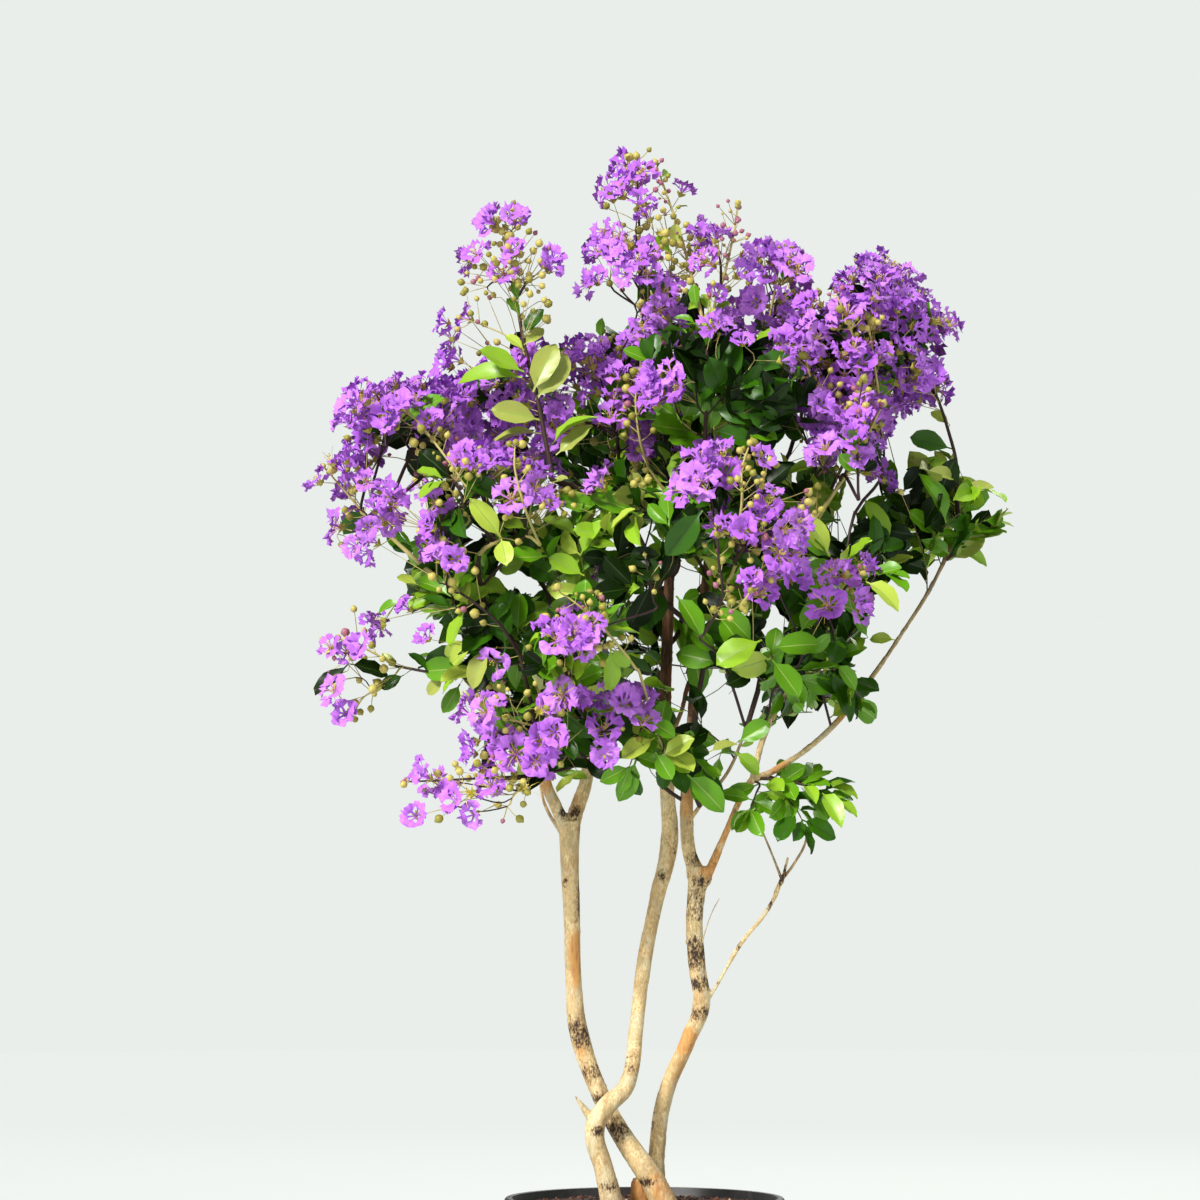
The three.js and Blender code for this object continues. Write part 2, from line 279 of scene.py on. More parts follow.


# Each leaf tone with its gloss. Deep and dark tones are duller; inside the crown they are painted
# shade.
LEAF_TONES = {
    "leaf_fresh": ((186, 208, 76), 0.48), "leaf_bright": ((146, 190, 40), 0.48),
    "leaf_mid": ((98, 156, 18), 0.42), "leaf_deep": ((50, 98, 6), 0.34),
    "leaf_dark": ((20, 42, 4), 0.22), "leaf_olive": ((170, 180, 84), 0.45),
}
RIB_TONE = (152, 182, 82)
DARK_RIB_TONE = (44, 72, 18)
PETAL_TONES = {
    "petal_pale": (208, 132, 243), "petal_light": (199, 118, 239),
    "petal_mid": (191, 107, 233), "petal_deep": (181, 97, 224),
}
leaf_finishes = [
    plain_finish(name, tone, 0.34, gloss=gloss) for name, (tone, gloss) in LEAF_TONES.items()
]
rib_finishes = [
    plain_finish("leaf_rib", RIB_TONE, 0.42),
    plain_finish("leaf_rib_dark", DARK_RIB_TONE, 0.5),
]
petal_finishes = [plain_finish(name, tone, 0.6, 0.1) for name, tone in PETAL_TONES.items()]
calyx_finish = plain_finish("calyx", (190, 184, 76), 0.5)
stamen_finish = plain_finish("stamen", (226, 204, 84), 0.55)
bud_finishes = [
    plain_finish("bud_yellow", (206, 192, 98), 0.45),
    plain_finish("bud_green", (164, 158, 62), 0.45),
    plain_finish("bud_pink", (180, 110, 130), 0.5),
]
stalk_finish = plain_finish("stalk", (198, 184, 110), 0.5)
stalk_dark_finish = plain_finish("stalk_dark", (58, 34, 38), 0.5)
twig_finish = plain_finish("twig_old", (62, 40, 32), 0.7)
young_twig_finish = plain_finish("twig_young", (112, 100, 58), 0.6)
print(len(bpy.data.materials), "plain finishes")

# %% [markdown]
# ## Patterned finishes
#
# Pot, soil and bark are broad surfaces that are seen close to, so they get patterns: noise in the
# piece's own coordinates drives colour, gloss and fine bumps. Each kind of step in a recipe has a
# helper.

# %% Pattern helpers
def place_noise(material, scale, detail=4.0, stretch=(1, 1, 1)):
    """Noise in the piece's own coordinates, in lumps of about 1/scale metres."""
    place = add_node(material, "ShaderNodeTexCoord")
    shape = add_node(material, "ShaderNodeMapping", {"Scale": stretch})
    pattern = add_node(material, "ShaderNodeTexNoise", {"Scale": scale, "Detail": detail})
    wire(material, place.outputs["Object"], shape.inputs["Vector"])
    wire(material, shape.outputs["Vector"], pattern.inputs["Vector"])
    return pattern.outputs["Fac"]


def sharpen(material, source, low, high, first=0.0, last=1.0):
    """Stretches the values between low and high over the range from first to last."""
    sockets = {"From Min": low, "From Max": high, "To Min": first, "To Max": last}
    ranged = add_node(material, "ShaderNodeMapRange", sockets)
    wire(material, source, ranged.inputs["Value"])
    return ranged.outputs["Result"]


def mix_colour(material, amount, under, over):
    """The colour "over" laid on "under" where amount is 1. Either may be a socket or a colour."""
    mixed = add_node(material, "ShaderNodeMix", data_type="RGBA")
    wire(material, amount, mixed.inputs["Factor"])
    for socket, colour in ((mixed.inputs[6], under), (mixed.inputs[7], over)):
        if isinstance(colour, tuple):
            socket.default_value = (*light_values(*colour), 1)
        else:
            wire(material, colour, socket)
    return mixed.outputs[2]


def add_bump(material, shader, height, strength, distance):
    bump = add_node(material, "ShaderNodeBump", {"Strength": strength, "Distance": distance})
    wire(material, height, bump.inputs["Height"])
    wire(material, bump.outputs["Normal"], shader.inputs["Normal"])


# %% [markdown]
# ## The pot
#
# The pot is one thin wall of black moulded plastic: a flat foot, a slightly flared side, a straight
# band under the rim and a small rounded lip. It could be spun round an axis, but drawing it ring by
# ring is simpler here. A filled circle is extruded up the outside, over the lip and down the
# inside, and each ring is scaled to its own radius. Six slots at the foot let the water out.

# %% Pot shape
POT_HEIGHT = 225 * MM
RIM_RADIUS = 125 * MM
NECK_RADIUS = 117 * MM
FOOT_RADIUS = 98 * MM
WALL = 2.5 * MM
BAND_HEIGHT = 20 * MM
BAND_OUT = 4 * MM
LIP_HEIGHT = 5 * MM
LIP_ROUND = 1.5 * MM
BAND_SLOPE = 0.6 * MM
FOOT_CHAMFER = 2 * MM
POT_SIDES = 120
band_foot = POT_HEIGHT - BAND_HEIGHT
band_radius = NECK_RADIUS + BAND_OUT
lip_foot = POT_HEIGHT - LIP_HEIGHT


def ring_by_ring(rings, sides):
    """A closed shape of revolution: each (radius, height) ring is extruded from the last."""
    clear_selection()
    (radius, height), *rest = rings
    bpy.ops.mesh.primitive_circle_add(
        vertices=sides, radius=radius, fill_type="NGON", location=(0, 0, height)
    )
    shape = bpy.context.object
    bpy.ops.object.transform_apply(location=True, rotation=True, scale=True)
    bpy.ops.object.mode_set(mode="EDIT")
    for next_radius, next_height in rest:
        rise = (0, 0, next_height - height)
        bpy.ops.mesh.extrude_region_move(TRANSFORM_OT_translate={"value": rise})
        widen = next_radius / radius
        bpy.ops.transform.resize(value=(widen, widen, 1), center_override=(0, 0, next_height))
        radius, height = next_radius, next_height
    bpy.ops.object.mode_set(mode="OBJECT")
    return shape


pot_rings = [
    (FOOT_RADIUS - FOOT_CHAMFER, 0), (FOOT_RADIUS, FOOT_CHAMFER), (NECK_RADIUS, band_foot),
    (band_radius, band_foot + BAND_SLOPE), (band_radius, lip_foot - LIP_ROUND),
    (RIM_RADIUS, lip_foot), (RIM_RADIUS, POT_HEIGHT - LIP_ROUND),
    (RIM_RADIUS - LIP_ROUND, POT_HEIGHT), (band_radius - WALL, POT_HEIGHT),
    (FOOT_RADIUS - WALL, WALL),
]
pot = ring_by_ring(pot_rings, POT_SIDES)
print("pot shape:", len(pot.data.vertices), "points")

# %% Drain slots and edges
DRAIN_COUNT = 6
DRAIN_WIDTH = 18 * MM
DRAIN_HEIGHT = 9 * MM
DRAIN_RISE = 10 * MM
DRAIN_REACH = 6 * WALL
EDGE_ROUND = 0.5 * MM

for index in range(DRAIN_COUNT):
    angle = (index + 0.5) * 2 * math.pi / DRAIN_COUNT
    middle = (FOOT_RADIUS * math.sin(angle), -FOOT_RADIUS * math.cos(angle), DRAIN_RISE)
    bpy.ops.mesh.primitive_cylinder_add(
        vertices=24, radius=0.5, depth=1, location=middle,
        rotation=(math.radians(90), 0, angle), scale=(DRAIN_WIDTH, DRAIN_HEIGHT, DRAIN_REACH),
    )
    cutter = bpy.context.object
    apply_modifier(pot, "BOOLEAN", operation="DIFFERENCE", solver="EXACT", object=cutter)
    bpy.data.objects.remove(cutter)
apply_modifier(pot, "BEVEL", width=EDGE_ROUND, segments=2, limit_method="ANGLE")
smooth(pot, 35)
settle(pot, "nursery_pot")
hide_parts("pot")
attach(pot, "root")
print("pot:", len(pot.data.polygons), "faces")

# %% Pot finish
pot_plastic, pot_shader = begin_finish("black_moulded_plastic", 0.4)
streaks = place_noise(pot_plastic, 22, 5, (1, 1, 0.25))
worn = sharpen(pot_plastic, streaks, 0.35, 0.7)
plastic = mix_colour(pot_plastic, worn, (24, 24, 26), (38, 38, 40))
dust = sharpen(pot_plastic, place_noise(pot_plastic, 160, 6), 0.45, 0.75)
dusty = sharpen(pot_plastic, dust, 0, 1, 0, 0.35)
plastic = mix_colour(pot_plastic, dusty, plastic, (74, 66, 58))
rough = sharpen(pot_plastic, streaks, 0.3, 0.7, 0.3, 0.52)
wire(pot_plastic, plastic, pot_shader.inputs["Base Color"])
wire(pot_plastic, rough, pot_shader.inputs["Roughness"])
add_bump(pot_plastic, pot_shader, place_noise(pot_plastic, 900, 3), 0.12, 0.2 * MM)
pot.data.materials.append(pot_plastic)
print("pot finish:", len(pot_plastic.node_tree.nodes), "nodes")

# %% [markdown]
# ## The potting mix
#
# The pot is filled to just under its rim with a damp, dark reddish mix of bark crumbs. A flat disc
# would look like cardboard. The top is inset ring after ring, so that it has enough points to be
# pushed into lumps, and about a thousand loose crumbs and chips are scattered over it.

# %% Soil body
SOIL_TOP = POT_HEIGHT - 8 * MM
SOIL_CROWNING = 2 * MM
SOIL_SIDES = 150
SOIL_RINGS = 44
SOIL_LUMP = 1.6 * MM
# The lumps come in three sizes: how many to the metre, and how high.
LUMP_SIZES = ((70, 1.0), (190, 0.6), (420, 0.4))
soil_gap = 0.6 * MM
soil_foot = WALL + 0.4 * MM
share_up = (SOIL_TOP - WALL) / (POT_HEIGHT - WALL)
soil_top_radius = FOOT_RADIUS - WALL + share_up * (band_radius - FOOT_RADIUS) - soil_gap


def soil_height(x, y):
    """How high the potting mix stands at a place: a slight crown with lumps of several sizes."""
    out = min(math.hypot(x, y) / soil_top_radius, 1)
    height = SOIL_TOP + SOIL_CROWNING * min(1, 2.2 * (1 - out))
    for scale, share in LUMP_SIZES:
        height += SOIL_LUMP * share * noise.noise(Vector((x * scale, y * scale, 3.1)))
    return height


soil_rings = [(FOOT_RADIUS - WALL - soil_gap, soil_foot), (soil_top_radius, SOIL_TOP)]
soil = ring_by_ring(soil_rings, SOIL_SIDES)
pick(soil)
bpy.ops.object.mode_set(mode="EDIT")
for ring in range(SOIL_RINGS):
    bpy.ops.mesh.inset(thickness=soil_top_radius / (SOIL_RINGS + 1), use_even_offset=False)
bpy.ops.object.mode_set(mode="OBJECT")
for point in soil.data.vertices:
    if point.co.z > SOIL_TOP - 1 * MM:
        point.co.z = soil_height(point.co.x, point.co.y)
smooth(soil, 60)
settle(soil, "potting_mix")
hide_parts("soil")
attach(soil, "root")
print("soil:", len(soil.data.polygons), "faces, top radius", round(soil_top_radius / MM, 1), "mm")

# %% Soil finish
soil_mix, soil_shader = begin_finish("damp_potting_mix", 0.9)
grains = place_noise(soil_mix, 520, 8)
clods = place_noise(soil_mix, 120, 5)
earth = mix_colour(soil_mix, sharpen(soil_mix, clods, 0.35, 0.65), (34, 18, 14), (74, 40, 28))
earth = mix_colour(soil_mix, sharpen(soil_mix, grains, 0.56, 0.68), earth, (124, 74, 50))
wire(soil_mix, earth, soil_shader.inputs["Base Color"])
wire(soil_mix, sharpen(soil_mix, grains, 0.3, 0.7, 0.7, 1), soil_shader.inputs["Roughness"])
add_bump(soil_mix, soil_shader, grains, 0.7, 0.8 * MM)
soil.data.materials.append(soil_mix)
print("soil finish:", len(soil_mix.node_tree.nodes), "nodes")

# %% [markdown]
# ## Copies of small shapes
#
# A crown holds thousands of leaves, flowers and buds. Each kind is modelled a few times, as a small
# mesh at the origin, and its points are then copied to every place in one go with arrays.
# The copies of a kind are joined into one mesh, because separate objects by the thousand would be
# slow to draw and easy to lose.

# %% Small shapes
class Shape:
    """A small mesh kept as arrays: points, triangles and a finish number for each triangle."""

    def __init__(self, points, triangles, finishes):
        self.points = np.asarray(points, float)
        self.triangles = np.asarray(triangles, int)
        self.finishes = np.asarray(finishes, int)


def shape_of(thing):
    """Reads an object's mesh as a Shape and removes the object."""
    mesh = thing.data
    mesh.calc_loop_triangles()
    points = [point.co[:] for point in mesh.vertices]
    triangles = [tuple(triangle.vertices) for triangle in mesh.loop_triangles]
    finishes = [triangle.material_index for triangle in mesh.loop_triangles]
    bpy.data.objects.remove(thing)
    return Shape(points, triangles, finishes)


def together(*shapes):
    """Several shapes as one."""
    starts = np.cumsum([0] + [len(shape.points) for shape in shapes])
    triangles = [shape.triangles + start for shape, start in zip(shapes, starts)]
    return Shape(
        np.concatenate([shape.points for shape in shapes]),
        np.concatenate(triangles),
        np.concatenate([shape.finishes for shape in shapes]),
    )


# %% Copies of a small shape
# Finish numbers below this one change from copy to copy.
FIXED_FINISH = 2


def copies(shape, places, turns, sizes, tones):
    """A Shape of many copies. turns are 3x3 matrices, and tones add to the low finish numbers."""
    turned = np.einsum("nij,vj->nvi", turns * np.reshape(sizes, (-1, 1, 1)), shape.points)
    points = (turned + places[:, None, :]).reshape(-1, 3)
    steps = np.arange(len(places)) * len(shape.points)
    triangles = (shape.triangles[None] + steps[:, None, None]).reshape(-1, 3)
    tints = np.reshape(tones, (-1, 1)) * (shape.finishes < FIXED_FINISH)
    return Shape(points, triangles, (shape.finishes + tints).reshape(-1))


def build(name, shape, finishes):
    """Makes a mesh object from a Shape, smooth all over."""
    mesh = bpy.data.meshes.new(name)
    count = len(shape.triangles)
    mesh.vertices.add(len(shape.points))
    mesh.vertices.foreach_set("co", shape.points.astype(np.float32).ravel())
    mesh.loops.add(3 * count)
    mesh.loops.foreach_set("vertex_index", shape.triangles.astype(np.int32).ravel())
    mesh.polygons.add(count)
    mesh.polygons.foreach_set("loop_start", np.arange(0, 3 * count, 3, dtype=np.int32))
    mesh.polygons.foreach_set("loop_total", np.full(count, 3, np.int32))
    mesh.polygons.foreach_set("material_index", shape.finishes.astype(np.int32))
    mesh.polygons.foreach_set("use_smooth", np.ones(count, bool))
    mesh.update()
    mesh.validate()
    for material in finishes:
        mesh.materials.append(material)
    piece = bpy.data.objects.new(name, mesh)
    bpy.context.scene.collection.objects.link(piece)
    print(name + ":", count, "triangles")
    return piece


def axes_for(forward, upward):
    """A 3x3 turn for each row: Y goes along forward, and Z as near to upward as it can."""
    y = unit(forward)
    x = unit(np.cross(y, upward))
    z = np.cross(x, y)
    return np.stack([x, y, z], axis=-1)


# %% Crumbs and chips on the soil
CRUMBS = 1100
CRUMBS_WITHIN = 0.97
CRUMB_RISE = 0.3 * MM
CRUMB_LIMITS = (0.5, 3.2)
chance = np.random.default_rng(5)


def crumb_shape():
    clear_selection()
    bpy.ops.mesh.primitive_ico_sphere_add(subdivisions=1, radius=1)
    crumb = bpy.context.object
    for point in crumb.data.vertices:
        point.co *= 0.75 + 0.5 * noise.noise(point.co * 1.7)
    return shape_of(crumb)


crumb = crumb_shape()
crumb_angles = chance.uniform(0, 2 * math.pi, CRUMBS)
crumb_out = CRUMBS_WITHIN * soil_top_radius * np.sqrt(chance.uniform(0, 1, CRUMBS))
crumb_x = crumb_out * np.cos(crumb_angles)
crumb_y = crumb_out * np.sin(crumb_angles)
crumb_z = np.array([soil_height(x, y) for x, y in zip(crumb_x, crumb_y)]) + CRUMB_RISE
crumb_places = np.stack([crumb_x, crumb_y, crumb_z], axis=1)
crumb_turns = axes_for(chance.normal(size=(CRUMBS, 3)), chance.normal(size=(CRUMBS, 3)))
crumb_stretch = chance.uniform(0.5, 1.6, (3, CRUMBS)).T
crumb_turns = crumb_turns * crumb_stretch[:, None, :]
crumb_sizes = chance.gamma(3, 0.42, CRUMBS).clip(*CRUMB_LIMITS) * MM
crumb_tones = chance.choice(3, CRUMBS, p=[0.6, 0.33, 0.07])
crumb_finishes = [
    plain_finish("crumb_dark", (48, 27, 20), 0.9),
    plain_finish("crumb_bark", (110, 64, 42), 0.85),
    plain_finish("crumb_pale", (176, 150, 116), 0.9),
]
crumb_copies = copies(crumb, crumb_places, crumb_turns, crumb_sizes, crumb_tones)
crumbs = build("soil_crumbs", crumb_copies, crumb_finishes)
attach(crumbs, "root")

# %% [markdown]
# ## Stems and limbs
#
# Each limb is a route of stops, written as x, y, z and radius in millimetres. The stops are the
# solid model's own, so the bark lies where its solids are. A curve with a radius at each stop gives
# a tube. The tubes of one stem are joined, and a voxel remesh melts them into one skin, which makes
# real crotches where the limbs fork, instead of pipes stuck into pipes.

# %% Limb routes
LIMBS = {
    "stem_left": [
        (24, -18, 205, 13), (7, -15, 241, 11), (-20, -6, 280, 9.5), (-41, 2, 320, 8.2),
        (-59, 0, 373, 8.8), (-63, -6, 414, 7.4), (-65, -12, 476, 7.5), (-67, -19, 534, 8.6),
        (-67, -21, 561, 10.5),
    ],
    "stem_middle": [
        (-25, -30, 205, 11.5), (-36, -31, 251, 8.8), (-44, -32, 288, 8.8), (-34, -29, 307, 8.4),
        (-18, -22, 322, 7.6), (-11, -12, 342, 6.9), (-8, 0, 369, 6.5), (0, 13, 431, 6.8),
        (11, 20, 488, 7), (23, 22, 542, 8.2), (21, 18, 589, 6.8), (19, 22, 657, 6.2),
        (22, 32, 731, 5.4), (24, 40, 796, 4.6),
    ],
    "stem_right": [
        (11, 24, 205, 11), (11, 22, 256, 7.6), (19, 14, 315, 7.2), (39, 3, 364, 6.9),
        (51, -5, 395, 8.2), (47, -10, 432, 7.9), (45, -13, 467, 7.7), (47, -16, 503, 8.4),
        (48, -17, 520, 9.6),
    ],
    "cut_stump": [(-1, 2, 205, 11), (-4, 1, 227, 9), (-7, 0, 243, 5)],
    "left_outer_limb": [
        (-71, -22, 555, 6.6), (-79, -26, 573, 5.6), (-87, -32, 591, 4.9), (-92, -46, 625, 4.4),
    ],
    "left_inner_limb": [
        (-65, -21, 556, 7.6), (-59, -18, 575, 6.6), (-53, -13, 593, 5.8), (-47, -6, 645, 5.2),
    ],
    "left_twig": [
        (-75, -22, 550, 2), (-86, -22, 568, 1.5), (-91, -21, 581, 1.3), (-94, -22, 612, 1.2),
    ],
    "middle_stub": [
        (-42, -31, 290, 5), (-52, -34, 303, 3.2), (-57, -35, 310, 2.2), (-62, -36, 317, 1),
    ],
    "upright_limb": [
        (46, -17, 515, 7.4), (40, -18, 532, 6.4), (38, -18, 561, 6.2), (39, -16, 601, 5.8),
        (45, -5, 669, 5.2), (49, 1, 724, 4.6), (56, 2, 778, 4.2), (59, 0, 810, 3.8),
    ],
    "spreading_limb": [
        (50, -17, 499, 5.2), (61, -24, 522, 3.9), (74, -37, 553, 3.2), (86, -46, 581, 3),
        (96, -50, 597, 3.6),
    ],
    "inner_riser": [
        (95, -50, 594, 3.4), (106, -42, 633, 2.9), (124, -34, 669, 2.6), (146, -28, 699, 2.3),
    ],
    "far_right_bough": [
        (95, -50, 595, 3.6), (120, -42, 607, 3), (167, -24, 643, 2.6), (207, -8, 692, 2.3),
        (236, 0, 734, 2.1), (259, 2, 770, 2.2), (279, 2, 810, 2.6),
    ],
    "side_branch": [
        (51, -5, 392, 3.6), (62, -9, 409, 1.9), (85, -18, 449, 2.2), (111, -26, 483, 2),
        (123, -30, 509, 2.3),
    ],
    "side_twig_left": [(123, -30, 506, 1.5), (114, -32, 529, 0.9), (101, -34, 560, 0.8)],
    "side_twig_right": [
        (122, -30, 507, 1.6), (134, -32, 523, 1.3), (144, -34, 544, 1.1), (143, -35, 557, 1),
    ],
    "side_stub": [(122, -30, 504, 2.2), (128, -30, 528, 1.7)],
    "low_cross_twig": [
        (38, -17, 557, 2.2), (51, -24, 575, 1.6), (74, -40, 603, 1.4), (90, -50, 640, 1.2),
    ],
    "crossing_branch": [
        (21, 20, 628, 2.8), (34, 17, 660, 2.3), (42, 14, 688, 2.2), (64, 12, 723, 1.8),
    ],
}
HAIR_TWIG = [(49, -14, 442, 0.9), (56, -18, 467, 0.6), (62, -20, 482, 0.45), (67, -21, 491, 0.35)]
CROWN_SHOOTS = ["spire_shoot", "spray_shoot"]
STEM_PIECES = {
    "left_stem_bark": ["stem_left", "left_outer_limb", "left_inner_limb"],
    "middle_stem_bark": ["stem_middle", "middle_stub", "crossing_branch"],
    "right_stem_bark": [
        "stem_right", "upright_limb", "spreading_limb", "inner_riser", "far_right_bough",
        "side_branch", "side_stub",
    ],
    "cut_stump_bark": ["cut_stump"],
}
THIN_LIMBS = ["left_twig", "side_twig_left", "side_twig_right", "low_cross_twig"]
print(len(LIMBS), "limb routes")

# %% Stem skins
SKIN_VOXEL = 1.1 * MM
SKIN_SMOOTHING = 5


def limb_tube(route, roundness):
    """A round tapering limb, drawn as a curve whose radius is set at each stop."""
    clear_selection()
    bpy.ops.curve.primitive_bezier_curve_add()
    limb = bpy.context.object
    spline = limb.data.splines[0]
    spline.bezier_points.add(len(route) - 2)
    for stop, (x, y, z, radius) in zip(spline.bezier_points, route):
        stop.co = Vector((x, y, z)) * MM
        stop.radius = radius * MM
        stop.handle_left_type = "AUTO"
        stop.handle_right_type = "AUTO"
    limb.data.dimensions = "3D"
    limb.data.bevel_depth = 1
    limb.data.bevel_resolution = roundness
    limb.data.resolution_u = 10
    limb.data.use_fill_caps = True
    bpy.ops.object.convert(target="MESH")
    return bpy.context.object


def joined(things):
    pick(*things)
    if len(things) > 1:
        bpy.ops.object.join()
    return bpy.context.object


def stem_skin(name, limb_names):
    skin = joined([limb_tube(LIMBS[limb], 5) for limb in limb_names])
    apply_modifier(skin, "REMESH", mode="VOXEL", voxel_size=SKIN_VOXEL)
    apply_modifier(skin, "SMOOTH", factor=0.5, iterations=SKIN_SMOOTHING)
    return settle(skin, name)


stem_skins = {name: stem_skin(name, limbs) for name, limbs in STEM_PIECES.items()}
for point in stem_skins["cut_stump_bark"].data.vertices:
    over = max(0, point.co.z - 231 * MM)
    splinter = noise.noise(Vector((point.co.x * 260, point.co.y * 260, 0)))
    point.co.z += over * (0.9 * splinter - 0.25) - 3 * MM * max(0, -splinter) * (over > 0)
for name, skin in stem_skins.items():
    print(name, len(skin.data.vertices), "points")

# %% [markdown]
# ## Bark relief and bark marks
#
# The bark of this tree is smooth and peels in thin flakes, which leaves cream, tan and grey-green
# patches with low steps between them. Old leaf and twig scars stand as small dark knots. Every
# point of the skin is moved along its normal for slow flutes, flakes and knots, and the same
# pattern is kept as named values on the points, so that the colours follow the relief.

# %% Places of the bark marks
# Dark, mottled places: x, y, z, reach round and along the limb in millimetres, and how dark.
DARK_PLACES = [
    (-58, -4, 371, 24, 17, 0.85), (-46, 0, 336, 20, 14, 0.7), (-38, -4, 312, 20, 10, 0.85),
    (-28, -8, 284, 22, 14, 0.88), (-6, -8, 267, 7, 6, 0.9), (2, -20, 240, 14, 5, 1.0),
    (-58, -16, 498, 6, 34, 0.95), (-70, -18, 505, 5, 6, 0.9), (-62, -28, 568, 7, 8, 1.1),
    (-61, -22, 556, 6, 14, 0.7), (-70, -30, 569, 7, 7, 1.1), (-56, -8, 440, 4, 30, 0.6),
    (30, 14, 540, 11, 44, 0.45), (15, 12, 512, 8, 7, 0.9), (16, 14, 470, 6, 22, 0.5),
    (-12, -14, 340, 18, 18, 0.6), (-32, -38, 237, 8, 7, 1.0), (-42, -40, 286, 7, 6, 1.0),
    (-62, -38, 314, 5, 6, 0.8), (46, -14, 441, 22, 19, 0.95), (47, -12, 415, 22, 9, 0.9),
    (50, -8, 388, 20, 10, 0.75), (46, -18, 486, 20, 34, 0.62), (50, -22, 506, 12, 10, 0.8),
    (44, -20, 526, 12, 9, 0.75), (4, 16, 296, 10, 30, 0.7), (40, -20, 556, 7, 14, 0.5),
    (62, -30, 520, 6, 26, 0.6), (80, -44, 566, 6, 26, 0.5), (112, -26, 486, 5, 10, 0.7),
    (84, -18, 448, 5, 7, 0.7), (122, -32, 510, 7, 14, 0.9), (66, -10, 416, 5, 8, 0.6),
]
# Bright tan patches, where the old bark has just come off.
TAN_PATCHES = [
    (-60, -18, 428, 9, 44, 1.1), (20, 16, 520, 18, 40, 0.2), (-60, -10, 352, 9, 14, 0.9),
    (36, -4, 366, 14, 15, 1.0), (28, 4, 338, 12, 20, 0.35), (14, -24, 234, 22, 24, 0.45),
    (62, -28, 522, 16, 18, 1.0), (75, -40, 552, 18, 18, 1.0), (88, -50, 580, 16, 16, 0.8),
    (40, -24, 582, 12, 26, 0.7), (-86, -34, 590, 14, 16, 0.6), (-62, -24, 578, 12, 14, 0.4),
    (-5, 0, 226, 14, 18, 1.2), (120, -42, 607, 12, 22, 0.7), (180, -20, 655, 16, 30, 0.7),
]
# Knots where a twig fell off: x, y, z and reach in millimetres.
KNOTS = [
    (-71, -23, 507, 4.6), (38, -20, 512, 4.5), (57, -22, 506, 4.0), (-36, -40, 288, 3.0),
    (17, 13, 509, 4.4), (-62, -30, 567, 5.0), (20, 13, 545, 3.2), (40, -14, 452, 3.0),
    (-66, -30, 566, 4.0),
]
print(len(DARK_PLACES), "dark places,", len(TAN_PATCHES), "tan patches,", len(KNOTS), "knots")

# %% Bark relief
FLUTE_HEIGHT = 0.5 * MM
FLAKE_STEP = 0.3 * MM
GRAIN_HEIGHT = 0.15 * MM
SCAR_DEPTH = 0.5 * MM
KNOT_HEIGHT = 1.3 * MM
THIN_RELIEF = 0.35
# High up inside the crown the bark turns brown, but not on the limbs far out at the right.
BROWN_FROM, BROWN_BLEND = 600 * MM, 70 * MM
PALE_FROM, PALE_BLEND = 75 * MM, 30 * MM


def clamp(value):
    return min(1, max(0, value))


def noise_at(place, around, along):
    """Noise with this many lumps to the metre round a limb and along it."""
    return noise.noise(Vector((place.x * around, place.y * around, place.z * along)))


def strength_at(place, patches):
    """How strongly a list of patches reaches a place."""
    total = 0.0
    for x, y, z, around, along, strength in patches:
        flat = math.hypot(place.x - x * MM, place.y - y * MM) / (around * MM)
        steep = abs(place.z - z * MM) / (along * MM)
        gap = flat * flat + steep * steep
        if gap < 5:
            total = max(total, strength * math.exp(-gap))
    return total


def knot_at(place):
    """A low ring round a hollow at each knot: its height and its darkness."""
    for x, y, z, reach in KNOTS:
        gap = (place - Vector((x, y, z)) * MM).length / (reach * MM)
        if gap < 1.6:
            return math.exp(-(((gap - 0.75) / 0.35) ** 2)), math.exp(-((gap / 0.55) ** 2))
    return 0.0, 0.0


def mark_bark(skin, age=0.0):
    """Moves the points of a skin into relief and keeps the marks on them. Twigs have an age."""
    mesh = skin.data
    marks = {name: [] for name in ("scar", "tan", "flake", "inner")}
    moves = []
    for point in mesh.vertices:
        place = point.co
        flute = noise_at(place, 55, 16)
        ragged = noise.noise(place * 260)
        flake_field = noise_at(place, 70, 34) + 0.25 * ragged
        flake = clamp((flake_field + 0.02) * 9)
        mottle = noise_at(place, 210, 120)
        mottle += 0.6 * noise.noise(place * 480) + 0.4 * noise.noise(place * 950)
        ring, hollow = knot_at(place)
        scar = clamp(max(strength_at(place, DARK_PLACES) + 0.3 * mottle, 1.2 * hollow))
        tan = strength_at(place, TAN_PATCHES) + 0.3 * noise.noise(place * 38 + Vector((4, 2, 9)))
        outer = clamp((place.x - PALE_FROM) / PALE_BLEND)
        inner = (place.z - BROWN_FROM) / BROWN_BLEND + 0.5 * flake_field
        aged = age + 0.4 * mottle * (age > 0)
        marks["scar"].append(scar)
        marks["tan"].append(clamp(tan))
        marks["flake"].append(flake)
        marks["inner"].append(clamp(max(inner * (1 - 0.75 * outer), aged)))
        moves.append(
            FLUTE_HEIGHT * flute + FLAKE_STEP * (flake - 0.5) + GRAIN_HEIGHT * ragged
            - SCAR_DEPTH * scar * max(0, ragged + 0.4) + KNOT_HEIGHT * (ring - hollow)
        )
    normals = [point.normal.copy() for point in mesh.vertices]
    for point, normal, move in zip(mesh.vertices, normals, moves):
        point.co += normal * move * (THIN_RELIEF if age > 0 else 1)
    for name, values in marks.items():
        attribute = mesh.attributes.new(name, "FLOAT", "POINT")
        attribute.data.foreach_set("value", values)
    mesh.update()


for skin in stem_skins.values():
    mark_bark(skin)
print("bark marked on", len(stem_skins), "skins")

